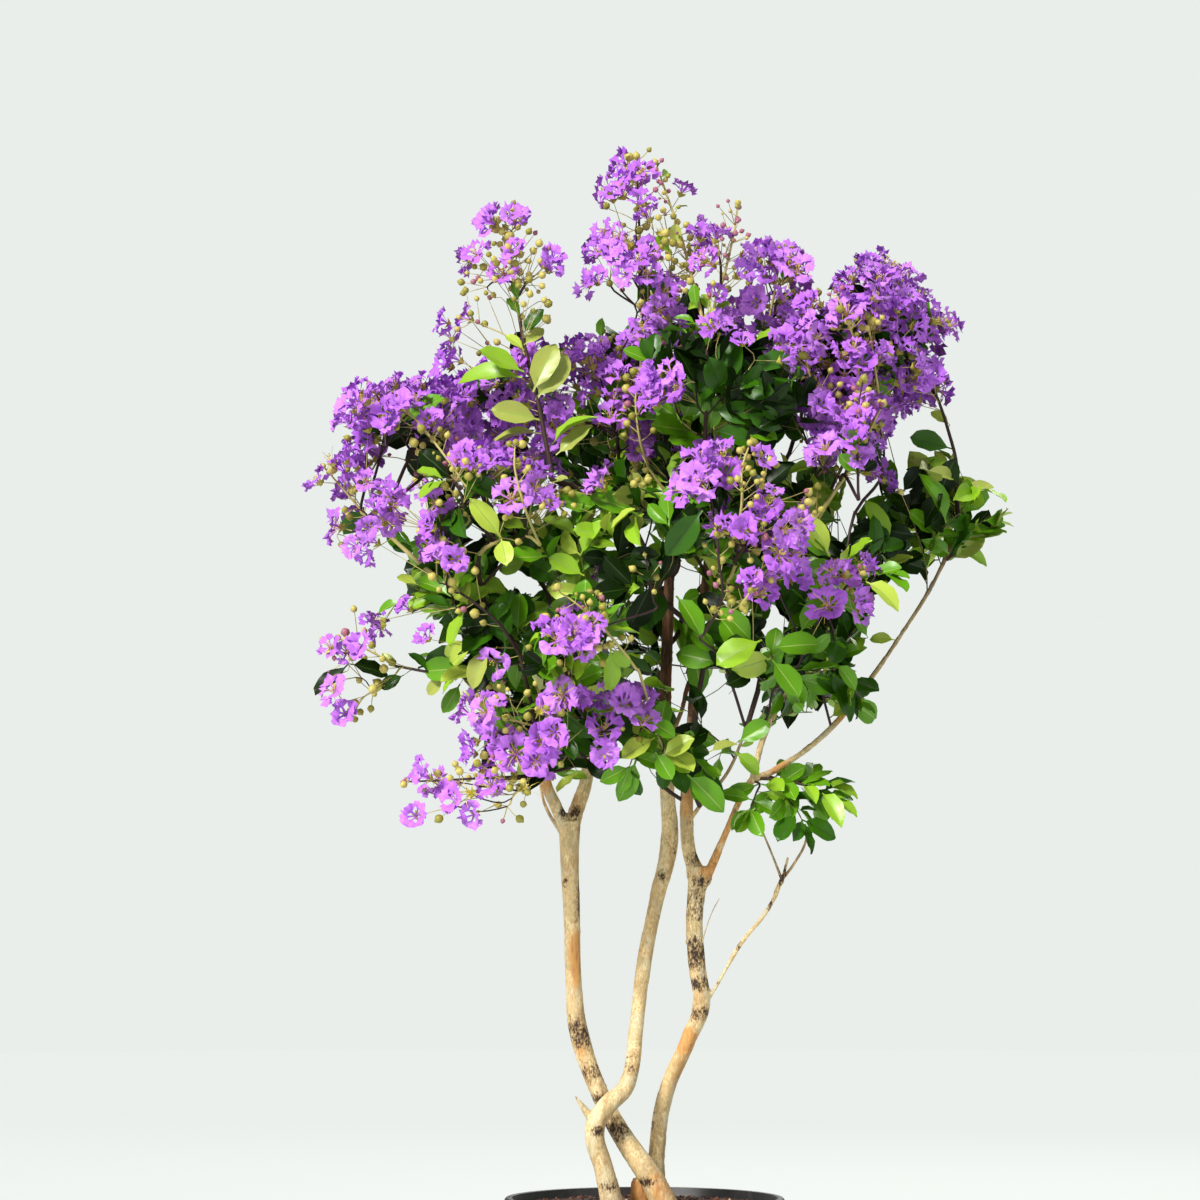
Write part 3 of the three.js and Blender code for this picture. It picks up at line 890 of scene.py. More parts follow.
# %% [markdown]
# ## Bark finish
#
# The colours are laid over each other as they are on the tree: cream first, grey-green where old
# bark still holds, orange-tan on fresh patches, a darker reddish brown high up inside the crown,
# and last the near-black scars and specks.

# %% Bark finish
def mark(material, name):
    return add_node(material, "ShaderNodeAttribute", attribute_name=name).outputs["Fac"]


bark, bark_shader = begin_finish("peeling_bark", 0.72)
fine_grain = place_noise(bark, 700, 6, (1, 1, 0.4))
mottle = place_noise(bark, 150, 6, (1, 1, 0.5))
cream = mix_colour(bark, sharpen(bark, fine_grain, 0.36, 0.66), (250, 228, 176), (206, 170, 112))
old_bark = sharpen(bark, mark(bark, "flake"), 0.2, 0.9, 0, 0.5)
layered = mix_colour(bark, old_bark, cream, (202, 172, 120))
pale_grey = sharpen(bark, place_noise(bark, 95, 6, (1, 1, 0.5)), 0.5, 0.62, 0, 0.6)
layered = mix_colour(bark, pale_grey, layered, (226, 214, 178))
grey_green = sharpen(bark, mottle, 0.54, 0.64, 0, 0.38)
layered = mix_colour(bark, grey_green, layered, (156, 148, 106))
dapple = sharpen(bark, place_noise(bark, 75, 7, (1, 1, 0.35)), 0.53, 0.64, 0, 0.42)
layered = mix_colour(bark, dapple, layered, (168, 124, 74))
streak = sharpen(bark, place_noise(bark, 420, 5, (1, 1, 0.12)), 0.4, 0.7)
tan_tone = mix_colour(bark, streak, (222, 160, 82), (186, 116, 58))
torn = add_node(bark, "ShaderNodeMath", {1: 0.9}, operation="MULTIPLY_ADD")
wire(bark, place_noise(bark, 420, 6, (1, 1, 0.3)), torn.inputs[0])
wire(bark, mark(bark, "tan"), torn.inputs[2])
tan = sharpen(bark, torn.outputs["Value"], 0.72, 1.08, 0, 0.85)
layered = mix_colour(bark, tan, layered, tan_tone)
brown = mix_colour(bark, streak, (66, 34, 24), (140, 82, 46))
layered = mix_colour(bark, sharpen(bark, mark(bark, "inner"), 0.1, 0.9, 0, 0.94), layered, brown)
specks = sharpen(bark, place_noise(bark, 1500, 4), 0.61, 0.69, 0, 0.75)
layered = mix_colour(bark, specks, layered, (104, 76, 50))
broken = add_node(bark, "ShaderNodeMath", {1: 1.5}, operation="MULTIPLY_ADD")
wire(bark, place_noise(bark, 700, 8, (1, 1, 0.5)), broken.inputs[0])
wire(bark, mark(bark, "scar"), broken.inputs[2])
halo = sharpen(bark, broken.outputs["Value"], 1.15, 1.45, 0, 0.8)
layered = mix_colour(bark, halo, layered, (124, 92, 56))
scars = sharpen(bark, broken.outputs["Value"], 1.42, 1.62, 0, 0.95)
wire(bark, mix_colour(bark, scars, layered, (44, 30, 22)), bark_shader.inputs["Base Color"])
wire(bark, sharpen(bark, mottle, 0.3, 0.7, 0.6, 0.85), bark_shader.inputs["Roughness"])
add_bump(bark, bark_shader, fine_grain, 0.6, 0.4 * MM)

for name, skin in stem_skins.items():
    skin.data.materials.append(bark)
    pick(skin)
    bpy.ops.object.shade_smooth()
    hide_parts(*STEM_PIECES[name])
    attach(skin, "root")

# %% Thin bare twigs
thin_routes = [LIMBS[limb] for limb in THIN_LIMBS] + [HAIR_TWIG]
thin_twigs = settle(joined([limb_tube(route, 3) for route in thin_routes]), "bare_twigs")
mark_bark(thin_twigs, age=0.45)
thin_twigs.data.materials.append(bark)
pick(thin_twigs)
bpy.ops.object.shade_smooth()
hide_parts(*THIN_LIMBS)
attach(thin_twigs, "root")
print("bare twigs:", len(thin_twigs.data.polygons), "faces")

# %% [markdown]
# ## Where the crown grows
#
# The masses of the solid model say where leaves and flowers are. Points are scattered inside each
# mass, at least a set distance apart: leafy twigs pass through the points of leaf masses, flowers
# and buds sit at points near the skin of flower masses, and plain stalk points further in lead to
# them. The crown has holes that the background shows through. Each hole is an oval on the upright
# plane through the pot's middle, seen from the front, and the whole line of sight through it is
# kept clear of leaves and flowers.

# %% Sky holes
# x, z, half width and half height in millimetres.
SKY_HOLES = [
    (-210, 837, 13, 11), (136, 895, 10, 10), (90, 664, 13, 21), (40, 783, 10, 10),
    (197, 857, 15, 14), (4, 818, 12, 11), (119, 738, 7, 16), (-121, 780, 16, 7), (-156, 818, 8, 14),
    (177, 827, 14, 10), (31, 672, 8, 24), (-146, 924, 14, 9), (114, 1042, 12, 8), (-73, 582, 9, 11),
    (-97, 773, 9, 9), (195, 1045, 5, 9), (101, 682, 11, 9), (144, 930, 12, 6), (56, 1053, 5, 12),
    (-9, 1040, 7, 8), (20, 982, 8, 5), (-49, 882, 9, 8), (100, 706, 15, 5), (-139, 850, 7, 10),
    (7, 756, 6, 8), (227, 731, 24, 33), (203, 713, 9, 7), (236, 913, 15, 15), (95, 1018, 10, 15),
    (143, 638, 29, 18), (65, 660, 11, 31), (-62, 1067, 9, 59), (134, 1106, 34, 22),
    (-252, 774, 32, 16), (-207, 633, 38, 16), (-40, 1027, 16, 13), (-295, 824, 15, 27),
    (-221, 868, 10, 17), (313, 899, 27, 27), (294, 956, 16, 31), (161, 1064, 13, 15),
    (-210, 719, 14, 10), (314, 848, 15, 6), (-213, 735, 20, 12), (-230, 798, 8, 11),
    (-238, 877, 18, 7), (-23, 1023, 12, 17), (256, 988, 11, 6), (201, 704, 12, 14),
    (-218, 899, 8, 6), (177, 640, 11, 16), (-271, 871, 13, 5), (51, 787, 4, 9), (-29, 807, 9, 7),
    (-118, 934, 6, 5), (166, 712, 6, 6),
]
view_place = np.array(VIEW_PLACE)


def in_ovals(places, ovals, margin=1.0):
    """For each place, whether it shows inside one of the ovals, seen from the front."""
    ovals = np.array(ovals) * MM
    away = places - view_place
    reach = -view_place[1] / away[:, 1]
    seen = view_place + away * reach[:, None]
    offsets = (seen[:, None, [0, 2]] - ovals[None, :, :2]) / ovals[None, :, 2:]
    return (np.linalg.norm(offsets, axis=2) < margin).any(axis=1)


def in_sky_hole(places, margin=1.0):
    return in_ovals(places, SKY_HOLES, margin)


print(len(SKY_HOLES), "sky holes")

# %% [markdown]
# ## Clusters and gaps, seen from the front
#
# Inside the masses, flowers and buds crowd into ragged clusters, with leaves and bare stalks
# between them. The clusters and the gaps are ovals too. They are given as the camera sees them, on
# a frame of 1200 by 1200 steps that starts at its upper left corner: column, row, half width and
# half height. A line of sight through a cluster meets the crown where its flowers grow.

# %% Flower clusters and gaps
FLOWER_CLUSTERS = [
    (510, 220, 20, 5), (492, 216, 4, 4), (474, 252, 5, 7), (518, 246, 6, 8), (551, 262, 5, 7),
    (465, 312, 8, 5), (448, 315, 4, 3), (455, 348, 11, 15), (530, 365, 12, 14), (515, 398, 14, 8),
    (555, 425, 10, 16), (538, 470, 8, 16), (507, 493, 12, 8), (547, 498, 8, 4), (573, 466, 8, 6),
    (604, 472, 5, 12), (662, 385, 26, 17), (395, 505, 20, 10), (378, 528, 10, 14),
    (446, 556, 12, 8), (420, 606, 14, 4), (430, 632, 6, 4), (495, 657, 6, 4), (375, 618, 10, 6),
    (336, 648, 12, 7), (358, 645, 6, 4), (338, 686, 4, 9), (347, 706, 3, 4), (320, 480, 3, 5),
    (342, 458, 6, 4), (638, 174, 12, 6), (618, 194, 6, 4), (645, 210, 12, 12), (654, 226, 8, 6),
    (612, 230, 10, 6), (610, 252, 18, 8), (594, 280, 6, 6), (640, 266, 16, 10), (668, 290, 7, 6),
    (680, 188, 4, 6), (710, 230, 14, 9), (693, 242, 5, 8), (710, 252, 8, 10), (742, 254, 6, 9),
    (768, 255, 14, 6), (655, 308, 8, 6), (722, 322, 12, 7), (740, 338, 6, 3), (784, 345, 13, 14),
    (808, 325, 14, 12), (860, 403, 12, 18), (824, 405, 8, 10), (697, 456, 14, 7), (695, 482, 12, 9),
    (760, 455, 5, 4), (768, 494, 8, 4), (784, 520, 15, 7), (740, 530, 16, 9), (787, 560, 12, 16),
    (758, 585, 14, 10), (545, 722, 12, 18), (572, 694, 14, 6), (630, 697, 16, 8), (485, 705, 8, 14),
    (474, 738, 4, 12), (510, 748, 12, 6), (602, 748, 6, 10), (430, 770, 12, 6), (474, 792, 12, 6),
    (418, 808, 5, 4), (456, 800, 4, 6), (528, 782, 6, 4), (585, 628, 14, 9), (555, 630, 8, 8),
    (860, 565, 6, 8), (830, 567, 6, 6), (832, 604, 7, 5), (856, 600, 6, 8), (938, 320, 8, 8),
    (890, 290, 24, 18), (918, 372, 12, 12), (865, 345, 14, 16), (480, 455, 14, 14),
    (360, 402, 12, 8), (852, 478, 8, 6), (575, 355, 12, 10), (400, 415, 12, 14), (494, 460, 9, 10),
    (420, 508, 10, 8), (640, 330, 6, 6), (742, 268, 12, 6), (790, 265, 10, 6), (862, 385, 6, 12),
    (855, 425, 9, 12), (818, 440, 10, 10), (360, 540, 14, 5), (645, 712, 6, 6), (535, 758, 9, 5),
    (478, 806, 12, 4), (716, 450, 7, 7), (843, 306, 7, 12), (838, 352, 10, 13), (536, 362, 6, 11),
    (520, 216, 8, 6), (872, 304, 10, 12),
]
FLOWER_GAPS = [
    (536, 188, 16, 7), (562, 272, 12, 30), (552, 222, 9, 8), (476, 226, 8, 6), (534, 322, 8, 18),
    (595, 326, 18, 12), (495, 352, 18, 18), (556, 368, 8, 16), (385, 364, 16, 5), (331, 436, 8, 14),
    (300, 480, 10, 26), (412, 458, 24, 12), (450, 482, 14, 12), (496, 532, 30, 34),
    (584, 425, 10, 24), (612, 452, 12, 12), (592, 206, 9, 10), (588, 228, 10, 14),
    (606, 168, 8, 12), (577, 268, 8, 18), (608, 296, 14, 10), (622, 208, 10, 5), (664, 196, 6, 22),
    (675, 246, 8, 20), (692, 300, 12, 22), (612, 318, 20, 20), (738, 288, 10, 10),
    (752, 238, 12, 5), (810, 246, 8, 14), (822, 284, 14, 8), (848, 252, 16, 5), (938, 284, 10, 10),
    (950, 358, 12, 14), (908, 452, 18, 34), (826, 478, 22, 14), (738, 436, 16, 8),
    (788, 442, 20, 7), (748, 478, 10, 18), (800, 487, 12, 12), (696, 536, 12, 34),
    (720, 592, 18, 24), (816, 545, 8, 18), (802, 592, 12, 20), (760, 616, 16, 7), (840, 548, 6, 6),
    (882, 560, 8, 14), (876, 596, 8, 18), (850, 622, 12, 7), (553, 600, 24, 8), (528, 640, 10, 20),
    (545, 676, 22, 14), (602, 608, 12, 6), (620, 630, 12, 10), (650, 632, 10, 18),
    (614, 660, 14, 9), (503, 688, 14, 8), (516, 712, 12, 6), (576, 760, 14, 20), (630, 750, 14, 14),
    (514, 772, 12, 9), (514, 812, 12, 8), (466, 822, 10, 8), (402, 782, 6, 10), (456, 760, 16, 7),
    (322, 628, 10, 8), (308, 665, 8, 26), (728, 225, 12, 20), (650, 610, 24, 30),
    (622, 300, 18, 24), (780, 470, 12, 14), (830, 552, 20, 8), (452, 735, 8, 20),
    (625, 650, 14, 18), (412, 785, 8, 16), (320, 520, 8, 30), (408, 540, 10, 8),
]
print(len(FLOWER_CLUSTERS), "flower clusters,", len(FLOWER_GAPS), "gaps between them")

# %% Bud clusters, leaf gaps and shade
BUD_CLUSTERS = [
    (662, 200, 7, 26), (674, 250, 8, 18), (727, 222, 13, 22), (720, 262, 6, 14), (644, 304, 12, 12),
    (617, 264, 8, 6), (750, 474, 14, 32), (468, 458, 20, 22), (430, 442, 18, 16),
    (520, 474, 18, 18), (592, 610, 14, 18), (602, 650, 12, 14), (762, 560, 14, 38),
    (860, 325, 14, 12), (845, 400, 12, 20), (830, 380, 8, 8), (630, 402, 8, 28), (520, 788, 12, 8),
    (490, 762, 14, 10), (455, 772, 8, 8), (385, 664, 9, 7), (376, 690, 6, 6), (345, 516, 6, 6),
    (562, 706, 16, 10), (640, 470, 10, 20), (560, 500, 16, 16), (812, 505, 12, 20),
    (500, 690, 12, 10), (540, 262, 10, 24), (500, 262, 20, 22), (475, 285, 14, 18),
    (532, 292, 20, 22), (545, 316, 8, 10), (668, 242, 8, 12), (688, 272, 7, 12), (738, 212, 7, 12),
    (742, 238, 6, 6), (712, 290, 5, 10),
]
# Places without scattered leaves, where the background or a bare shoot shows.
LEAF_GAPS = [
    (928, 412, 34, 46), (905, 455, 20, 28), (390, 614, 18, 12), (437, 642, 16, 12),
    (386, 690, 10, 16), (438, 712, 8, 14), (650, 786, 12, 16), (630, 772, 12, 8),
    (898, 598, 20, 16), (874, 706, 18, 22), (1010, 490, 14, 18), (620, 225, 50, 70),
    (715, 250, 50, 50), (510, 270, 60, 60), (618, 310, 24, 26), (400, 568, 14, 20),
    (884, 706, 22, 16), (845, 738, 14, 20), (890, 588, 14, 14), (410, 625, 30, 24),
]
# Places in shade, where leaves are dealt darker tones than elsewhere: painted shade.
SHADED_PLACES = [
    (735, 370, 70, 62), (590, 475, 50, 40), (690, 640, 22, 80), (525, 640, 50, 44),
    (650, 600, 40, 60), (790, 410, 30, 40), (880, 500, 40, 50),
]
# Places where leaves are dealt pale tones, as painted light coming through them.
LIT_PLACES = [(940, 440, 40, 58), (985, 500, 34, 34), (800, 470, 30, 24), (880, 590, 26, 22)]
print(len(BUD_CLUSTERS), "bud clusters,", len(LEAF_GAPS), "leaf gaps")

# %% Leaves with a place of their own
# Column and row of the foot, then column and row of the tip. Those on the shoots that stand clear
# also have a depth, as a y in millimetres.
SHOOT_LEAVES = [
    (522, 378, 458, 365, -86), (524, 372, 478, 352, -84), (533, 392, 553, 342, -84),
    (536, 400, 567, 352, -82), (540, 420, 492, 408, -84), (541, 434, 490, 428, -84),
    (552, 445, 582, 405, -84), (556, 455, 592, 425, -84), (548, 482, 568, 478, -86),
    (722, 400, 733, 352, -112), (722, 420, 757, 415, -112), (952, 449, 910, 437, -20),
    (956, 484, 933, 453, -16), (955, 505, 917, 482, -22), (957, 492, 993, 485, 0),
    (957, 535, 1005, 522, 0), (955, 545, 990, 560, 0), (950, 425, 932, 410, -4),
    (950, 560, 985, 535, 0), (523, 334, 541, 308, -70), (521, 318, 507, 298, -68),
    (524, 345, 543, 326, -72), (519, 300, 512, 282, -64), (524, 350, 506, 334, -74),
    (676, 250, 676, 224, -60), (672, 254, 655, 237, -58), (697, 308, 692, 284, -68),
    (704, 332, 713, 306, -74), (696, 324, 677, 312, -70), (428, 673, 414, 650, -44),
    (396, 668, 384, 652, -40), (404, 675, 380, 687, -42), (444, 677, 426, 694, -44),
]
FRONT_LEAVES = [
    (402, 603, 376, 606), (418, 585, 398, 574), (460, 684, 444, 712), (458, 655, 492, 625),
    (418, 668, 462, 656), (548, 556, 505, 560), (548, 572, 578, 550), (622, 668, 590, 692),
    (638, 668, 670, 648), (636, 760, 622, 802), (578, 772, 558, 794), (646, 720, 676, 734),
    (655, 738, 622, 756), (655, 752, 672, 780), (662, 756, 694, 738), (687, 775, 724, 806),
    (738, 742, 770, 724), (735, 752, 762, 772), (710, 752, 735, 738), (772, 648, 820, 642),
    (762, 640, 716, 660), (772, 660, 800, 695), (745, 668, 770, 664), (836, 664, 858, 684),
    (868, 638, 856, 615), (895, 640, 870, 636), (702, 510, 668, 555), (676, 596, 704, 628),
    (868, 575, 902, 570), (866, 582, 900, 598), (755, 808, 735, 830), (764, 792, 790, 800),
    (798, 808, 818, 826), (826, 780, 858, 798), (512, 678, 520, 655), (600, 338, 602, 318),
]
# Twigs with leaves low inside the crown, behind the forks, dealt the darkest tones as painted
# shade: column, row and depth.
INNER_LEAVES = [
    (628, 632, 30), (642, 626, 44), (656, 636, 36), (634, 650, 40), (648, 654, 26), (660, 664, 44),
    (640, 670, 34), (654, 680, 50), (630, 674, 30), (678, 634, 50), (686, 650, 60), (680, 666, 52),
    (688, 684, 62), (644, 640, 60), (652, 666, 64), (696, 668, 58), (682, 618, 56),
]
print(len(SHOOT_LEAVES) + len(FRONT_LEAVES), "leaves,", len(INNER_LEAVES), "inner twigs")

# %% From the frame to the plant
VIEW_STEPS = 1200
VIEW_FOCUS = VIEW_LENS / SENSOR_WIDTH * VIEW_STEPS
focus = np.array((VIEW_FOCUS, -VIEW_FOCUS))
view_ahead = np.array((0, math.cos(VIEW_TILT), math.sin(VIEW_TILT)))
view_up = np.array((0, -math.sin(VIEW_TILT), math.cos(VIEW_TILT)))


def in_frame(places):
    """Where places show in the camera's frame, as columns and rows."""
    away = places - view_place
    offsets = np.stack([away[:, 0], away @ view_up], axis=1) / (away @ view_ahead)[:, None]
    return VIEW_STEPS / 2 + offsets * focus


def from_frame(column, row, depth):
    """The place that shows at a step of the frame and has this y, in metres."""
    offset = (np.array((column, row)) - VIEW_STEPS / 2) / focus
    way = view_ahead + np.array((offset[0], 0, 0)) + view_up * offset[1]
    return view_place + way * (depth - view_place[1]) / way[1]


def in_view_ovals(places, ovals, margin=0.0):
    """For each place, whether it shows inside one of the ovals, or within a margin of it."""
    ovals = np.array(ovals, float)
    offsets = (in_frame(places)[:, None] - ovals[None, :, :2]) / (ovals[None, :, 2:] + margin)
    return (np.linalg.norm(offsets, axis=2) < 1).any(axis=1)


print("view focus", round(VIEW_FOCUS), "steps")

# %% Masses and depths
# These leaf masses are made of guided shoots alone.
SHOOT_MASSES = {"shoot_leaves", "leaves_low_right"}
slots = {part["node"]: part["material_slot"] for part in frame["record"]["subparts"]}
bloom_masses = [name for name in frame["nodes"] if slots[name] == "bloom"]
leaf_masses = [name for name in frame["nodes"] if slots[name] == "leaf"]


def hull_of(names):
    """A search tree over the faces of some nodes of the solid model."""
    points, triangles = [], []
    for name in names:
        mesh = frame["nodes"][name].data
        mesh.calc_loop_triangles()
        count = len(points)
        points.extend(point.co.copy() for point in mesh.vertices)
        for triangle in mesh.loop_triangles:
            triangles.append([count + corner for corner in triangle.vertices])
    return BVHTree.FromPolygons(points, triangles)


def depth_in(hull, place):
    """How far a place lies inside the hull, or a negative number outside it."""
    nearest, normal, face, distance = hull.find_nearest(Vector(place))
    outward = (Vector(place) - nearest).dot(normal)
    return distance if outward < 0 else -distance


hulls = {name: hull_of([name]) for name in bloom_masses + leaf_masses}
crown_hull = hull_of(bloom_masses + leaf_masses)
front_hull = hull_of(bloom_masses + [name for name in leaf_masses if name not in SHOOT_MASSES])
print(len(bloom_masses), "flower masses,", len(leaf_masses), "leaf masses")

# %% Spaced places
SKY_MARGIN = 1.15


class Spacing:
    """Accepts a place only if it lies far enough from all the places that it took before."""

    def __init__(self, distance):
        self.distance = distance
        self.cells = {}

    def take(self, place):
        cell = tuple(int(math.floor(value / self.distance)) for value in place)
        for steps in itertools.product((-1, 0, 1), repeat=3):
            near = tuple(map(sum, zip(cell, steps)))
            if any(math.dist(other, place) < self.distance for other in self.cells.get(near, ())):
                return False
        self.cells.setdefault(cell, []).append(tuple(place))
        return True


def scatter(name, spacing, taken, least_depth, most_depth, chance, tries=26):
    """Places inside a mass between two depths, apart from each other and clear of sky holes."""
    hull = hulls[name]
    low, high = (np.array(corner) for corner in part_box(name))
    count = int(tries * np.prod(high - low) / spacing**3)
    candidates = chance.uniform(low, high, (count, 3))
    candidates = candidates[~in_sky_hole(candidates, SKY_MARGIN)]
    found = []
    for place in candidates:
        depth = depth_in(hull, place)
        if least_depth < depth < most_depth and taken.take(place):
            found.append(place)
    return np.array(found).reshape(-1, 3)


# %% Places of the clusters
CLUSTER_SPACING = 14 * MM
BUD_CLUSTER_SPACING = 10.5 * MM
FLOWER_SPACING = 19.5 * MM
BUD_SPACING = 17 * MM
CLUSTER_LOOSENESS = 3 * MM
CLUSTER_TRIES = 0.45
CLUSTER_SKY_MARGIN = 0.9
# A flower opens above the end of its stalk, so the ends are set a little below the ovals.
FLOWERS_FORWARD, FLOWERS_DOWN = 4 * MM, 5 * MM
BUDS_FORWARD = 8 * MM


def on_the_crown(column, row):
    """Where the line of sight through a step of the frame meets the crown, or passes nearest."""
    way = unit(from_frame(column, row, 0.0) - view_place)
    place, normal, face, distance = front_hull.ray_cast(Vector(view_place), Vector(way))
    if place is not None:
        return np.array(place)
    line = [from_frame(column, row, depth) for depth in np.linspace(-0.2, 0.2, 41)]
    return min(line, key=lambda place: front_hull.find_nearest(Vector(place))[3])


def clusters(ovals, spacing, taken, forward, down, chance):
    """Places on the front of the crown that show inside the ovals, clear of sky holes."""
    own = Spacing(spacing)
    found = []
    for column, row, half_width, half_height in ovals:
        for _ in range(int(half_width * half_height * CLUSTER_TRIES)):
            angle = chance.uniform(0, 2 * math.pi)
            out = math.sqrt(chance.uniform(0, 1))
            across = half_width * out * math.cos(angle)
            place = on_the_crown(column + across, row + half_height * out * math.sin(angle))
            place = place + np.array((0, chance.normal(-forward, CLUSTER_LOOSENESS), -down))
            if not in_sky_hole(place[None], CLUSTER_SKY_MARGIN)[0] and own.take(place):
                taken.take(place)
                found.append(place)
    return np.array(found)


chance = np.random.default_rng(21)
flower_taken = Spacing(FLOWER_SPACING)
bud_taken = Spacing(BUD_SPACING)
flower_points = [
    clusters(FLOWER_CLUSTERS, CLUSTER_SPACING, flower_taken, FLOWERS_FORWARD, FLOWERS_DOWN, chance)
]
bud_points = [clusters(BUD_CLUSTERS, BUD_CLUSTER_SPACING, bud_taken, BUDS_FORWARD, 0, chance)]
print("flowers in clusters", len(flower_points[0]), "buds in clusters", len(bud_points[0]))

# %% Places inside the masses
LEAF_SPACING = 25 * MM
STALK_SPACING = 20 * MM
LEAF_DEPTH = 5 * MM
FLOWER_LEAST = 4 * MM
FLOWER_DEPTH = 24 * MM
STALK_DEPTH = 14 * MM
LEAF_DEPTH_IN_BLOOM = 26 * MM
GAP_MARGIN = 11
# Some flower heads are thinner than the rest.
THIN_HEADS = {
    "bloom_front_left": 0.25, "spray_left_low": 0, "bloom_left_mid": 0.6, "bloom_lowest_left": 0.6,
    "bloom_small_right": 0.5, "bloom_left_tip": 0.5, "bloom_low_left": 0.6, "spire_left": 0.15,
    "spire_top": 0.5, "spire_top_small": 0.3, "bloom_front_right": 0.75,
}
# In some, leaves come nearer to the skin than in the others.
LEAF_DEPTHS = {"bloom_front_left": 5 * MM, "bloom_left_mid": 12 * MM, "bloom_low_left": 16 * MM}

leaf_taken = Spacing(LEAF_SPACING)
stalk_taken = Spacing(STALK_SPACING)
leaf_points, stalk_points = [], []
for name in leaf_masses:
    if name not in SHOOT_MASSES:
        found = scatter(name, LEAF_SPACING, leaf_taken, LEAF_DEPTH, 1, chance)
        leaf_points.append(found[~in_view_ovals(found, LEAF_GAPS)])
for name in bloom_masses:
    leaf_depth = LEAF_DEPTHS.get(name, LEAF_DEPTH_IN_BLOOM)
    leaf_points.append(scatter(name, LEAF_SPACING, leaf_taken, leaf_depth, 1, chance))
    found = scatter(name, FLOWER_SPACING, flower_taken, FLOWER_LEAST, FLOWER_DEPTH, chance)
    found = found[chance.random(len(found)) < THIN_HEADS.get(name, 1)]
    flower_points.append(found[~in_view_ovals(found, FLOWER_GAPS, GAP_MARGIN)])
    bud_points.append(scatter(name, BUD_SPACING, bud_taken, 0, FLOWER_DEPTH, chance, 0.2))
    stalk_points.append(scatter(name, STALK_SPACING, stalk_taken, STALK_DEPTH, 1, chance))
print("leaf points", sum(map(len, leaf_points)), "flowers", sum(map(len, flower_points)))
print("buds", sum(map(len, bud_points)), "stalk points", sum(map(len, stalk_points)))

# %% Feet and tips of the set leaves
SET_LEAF_FORWARD = 6 * MM

# Each has its foot, its tip, and whether it grows on a shoot that stands clear.
set_leaves = []
for column, row, tip_column, tip_row, depth in SHOOT_LEAVES:
    foot = from_frame(column, row, depth * MM)
    tip = from_frame(tip_column, tip_row, (depth + chance.normal(-2, 4)) * MM)
    set_leaves.append((foot, tip, "shoot_spot"))
for column, row, tip_column, tip_row in FRONT_LEAVES:
    foot = on_the_crown(column, row)
    foot = from_frame(column, row, foot[1] - SET_LEAF_FORWARD)
    tip = from_frame(tip_column, tip_row, foot[1] + chance.normal(-4, 5) * MM)
    set_leaves.append((foot, tip, "spot"))
print(len(set_leaves), "set leaves")

# %% [markdown]
# ## The branching rule
#
# A tree gives each part of its crown the shortest supply line that doesn't wander. The rule here
# does the same. Starting from the limbs, the open point that is cheapest to reach is joined to the
# branch that reaches it, again and again. The cost is the distance, more if the branch has to turn
# sharply, plus a share of the way back to the ground. Flowers and buds never carry anything, so
# they end up at the tips.
#
# Some shoots are seen clearly and have a route of their own: they join the tree at their foot and
# bring their whole route with them.

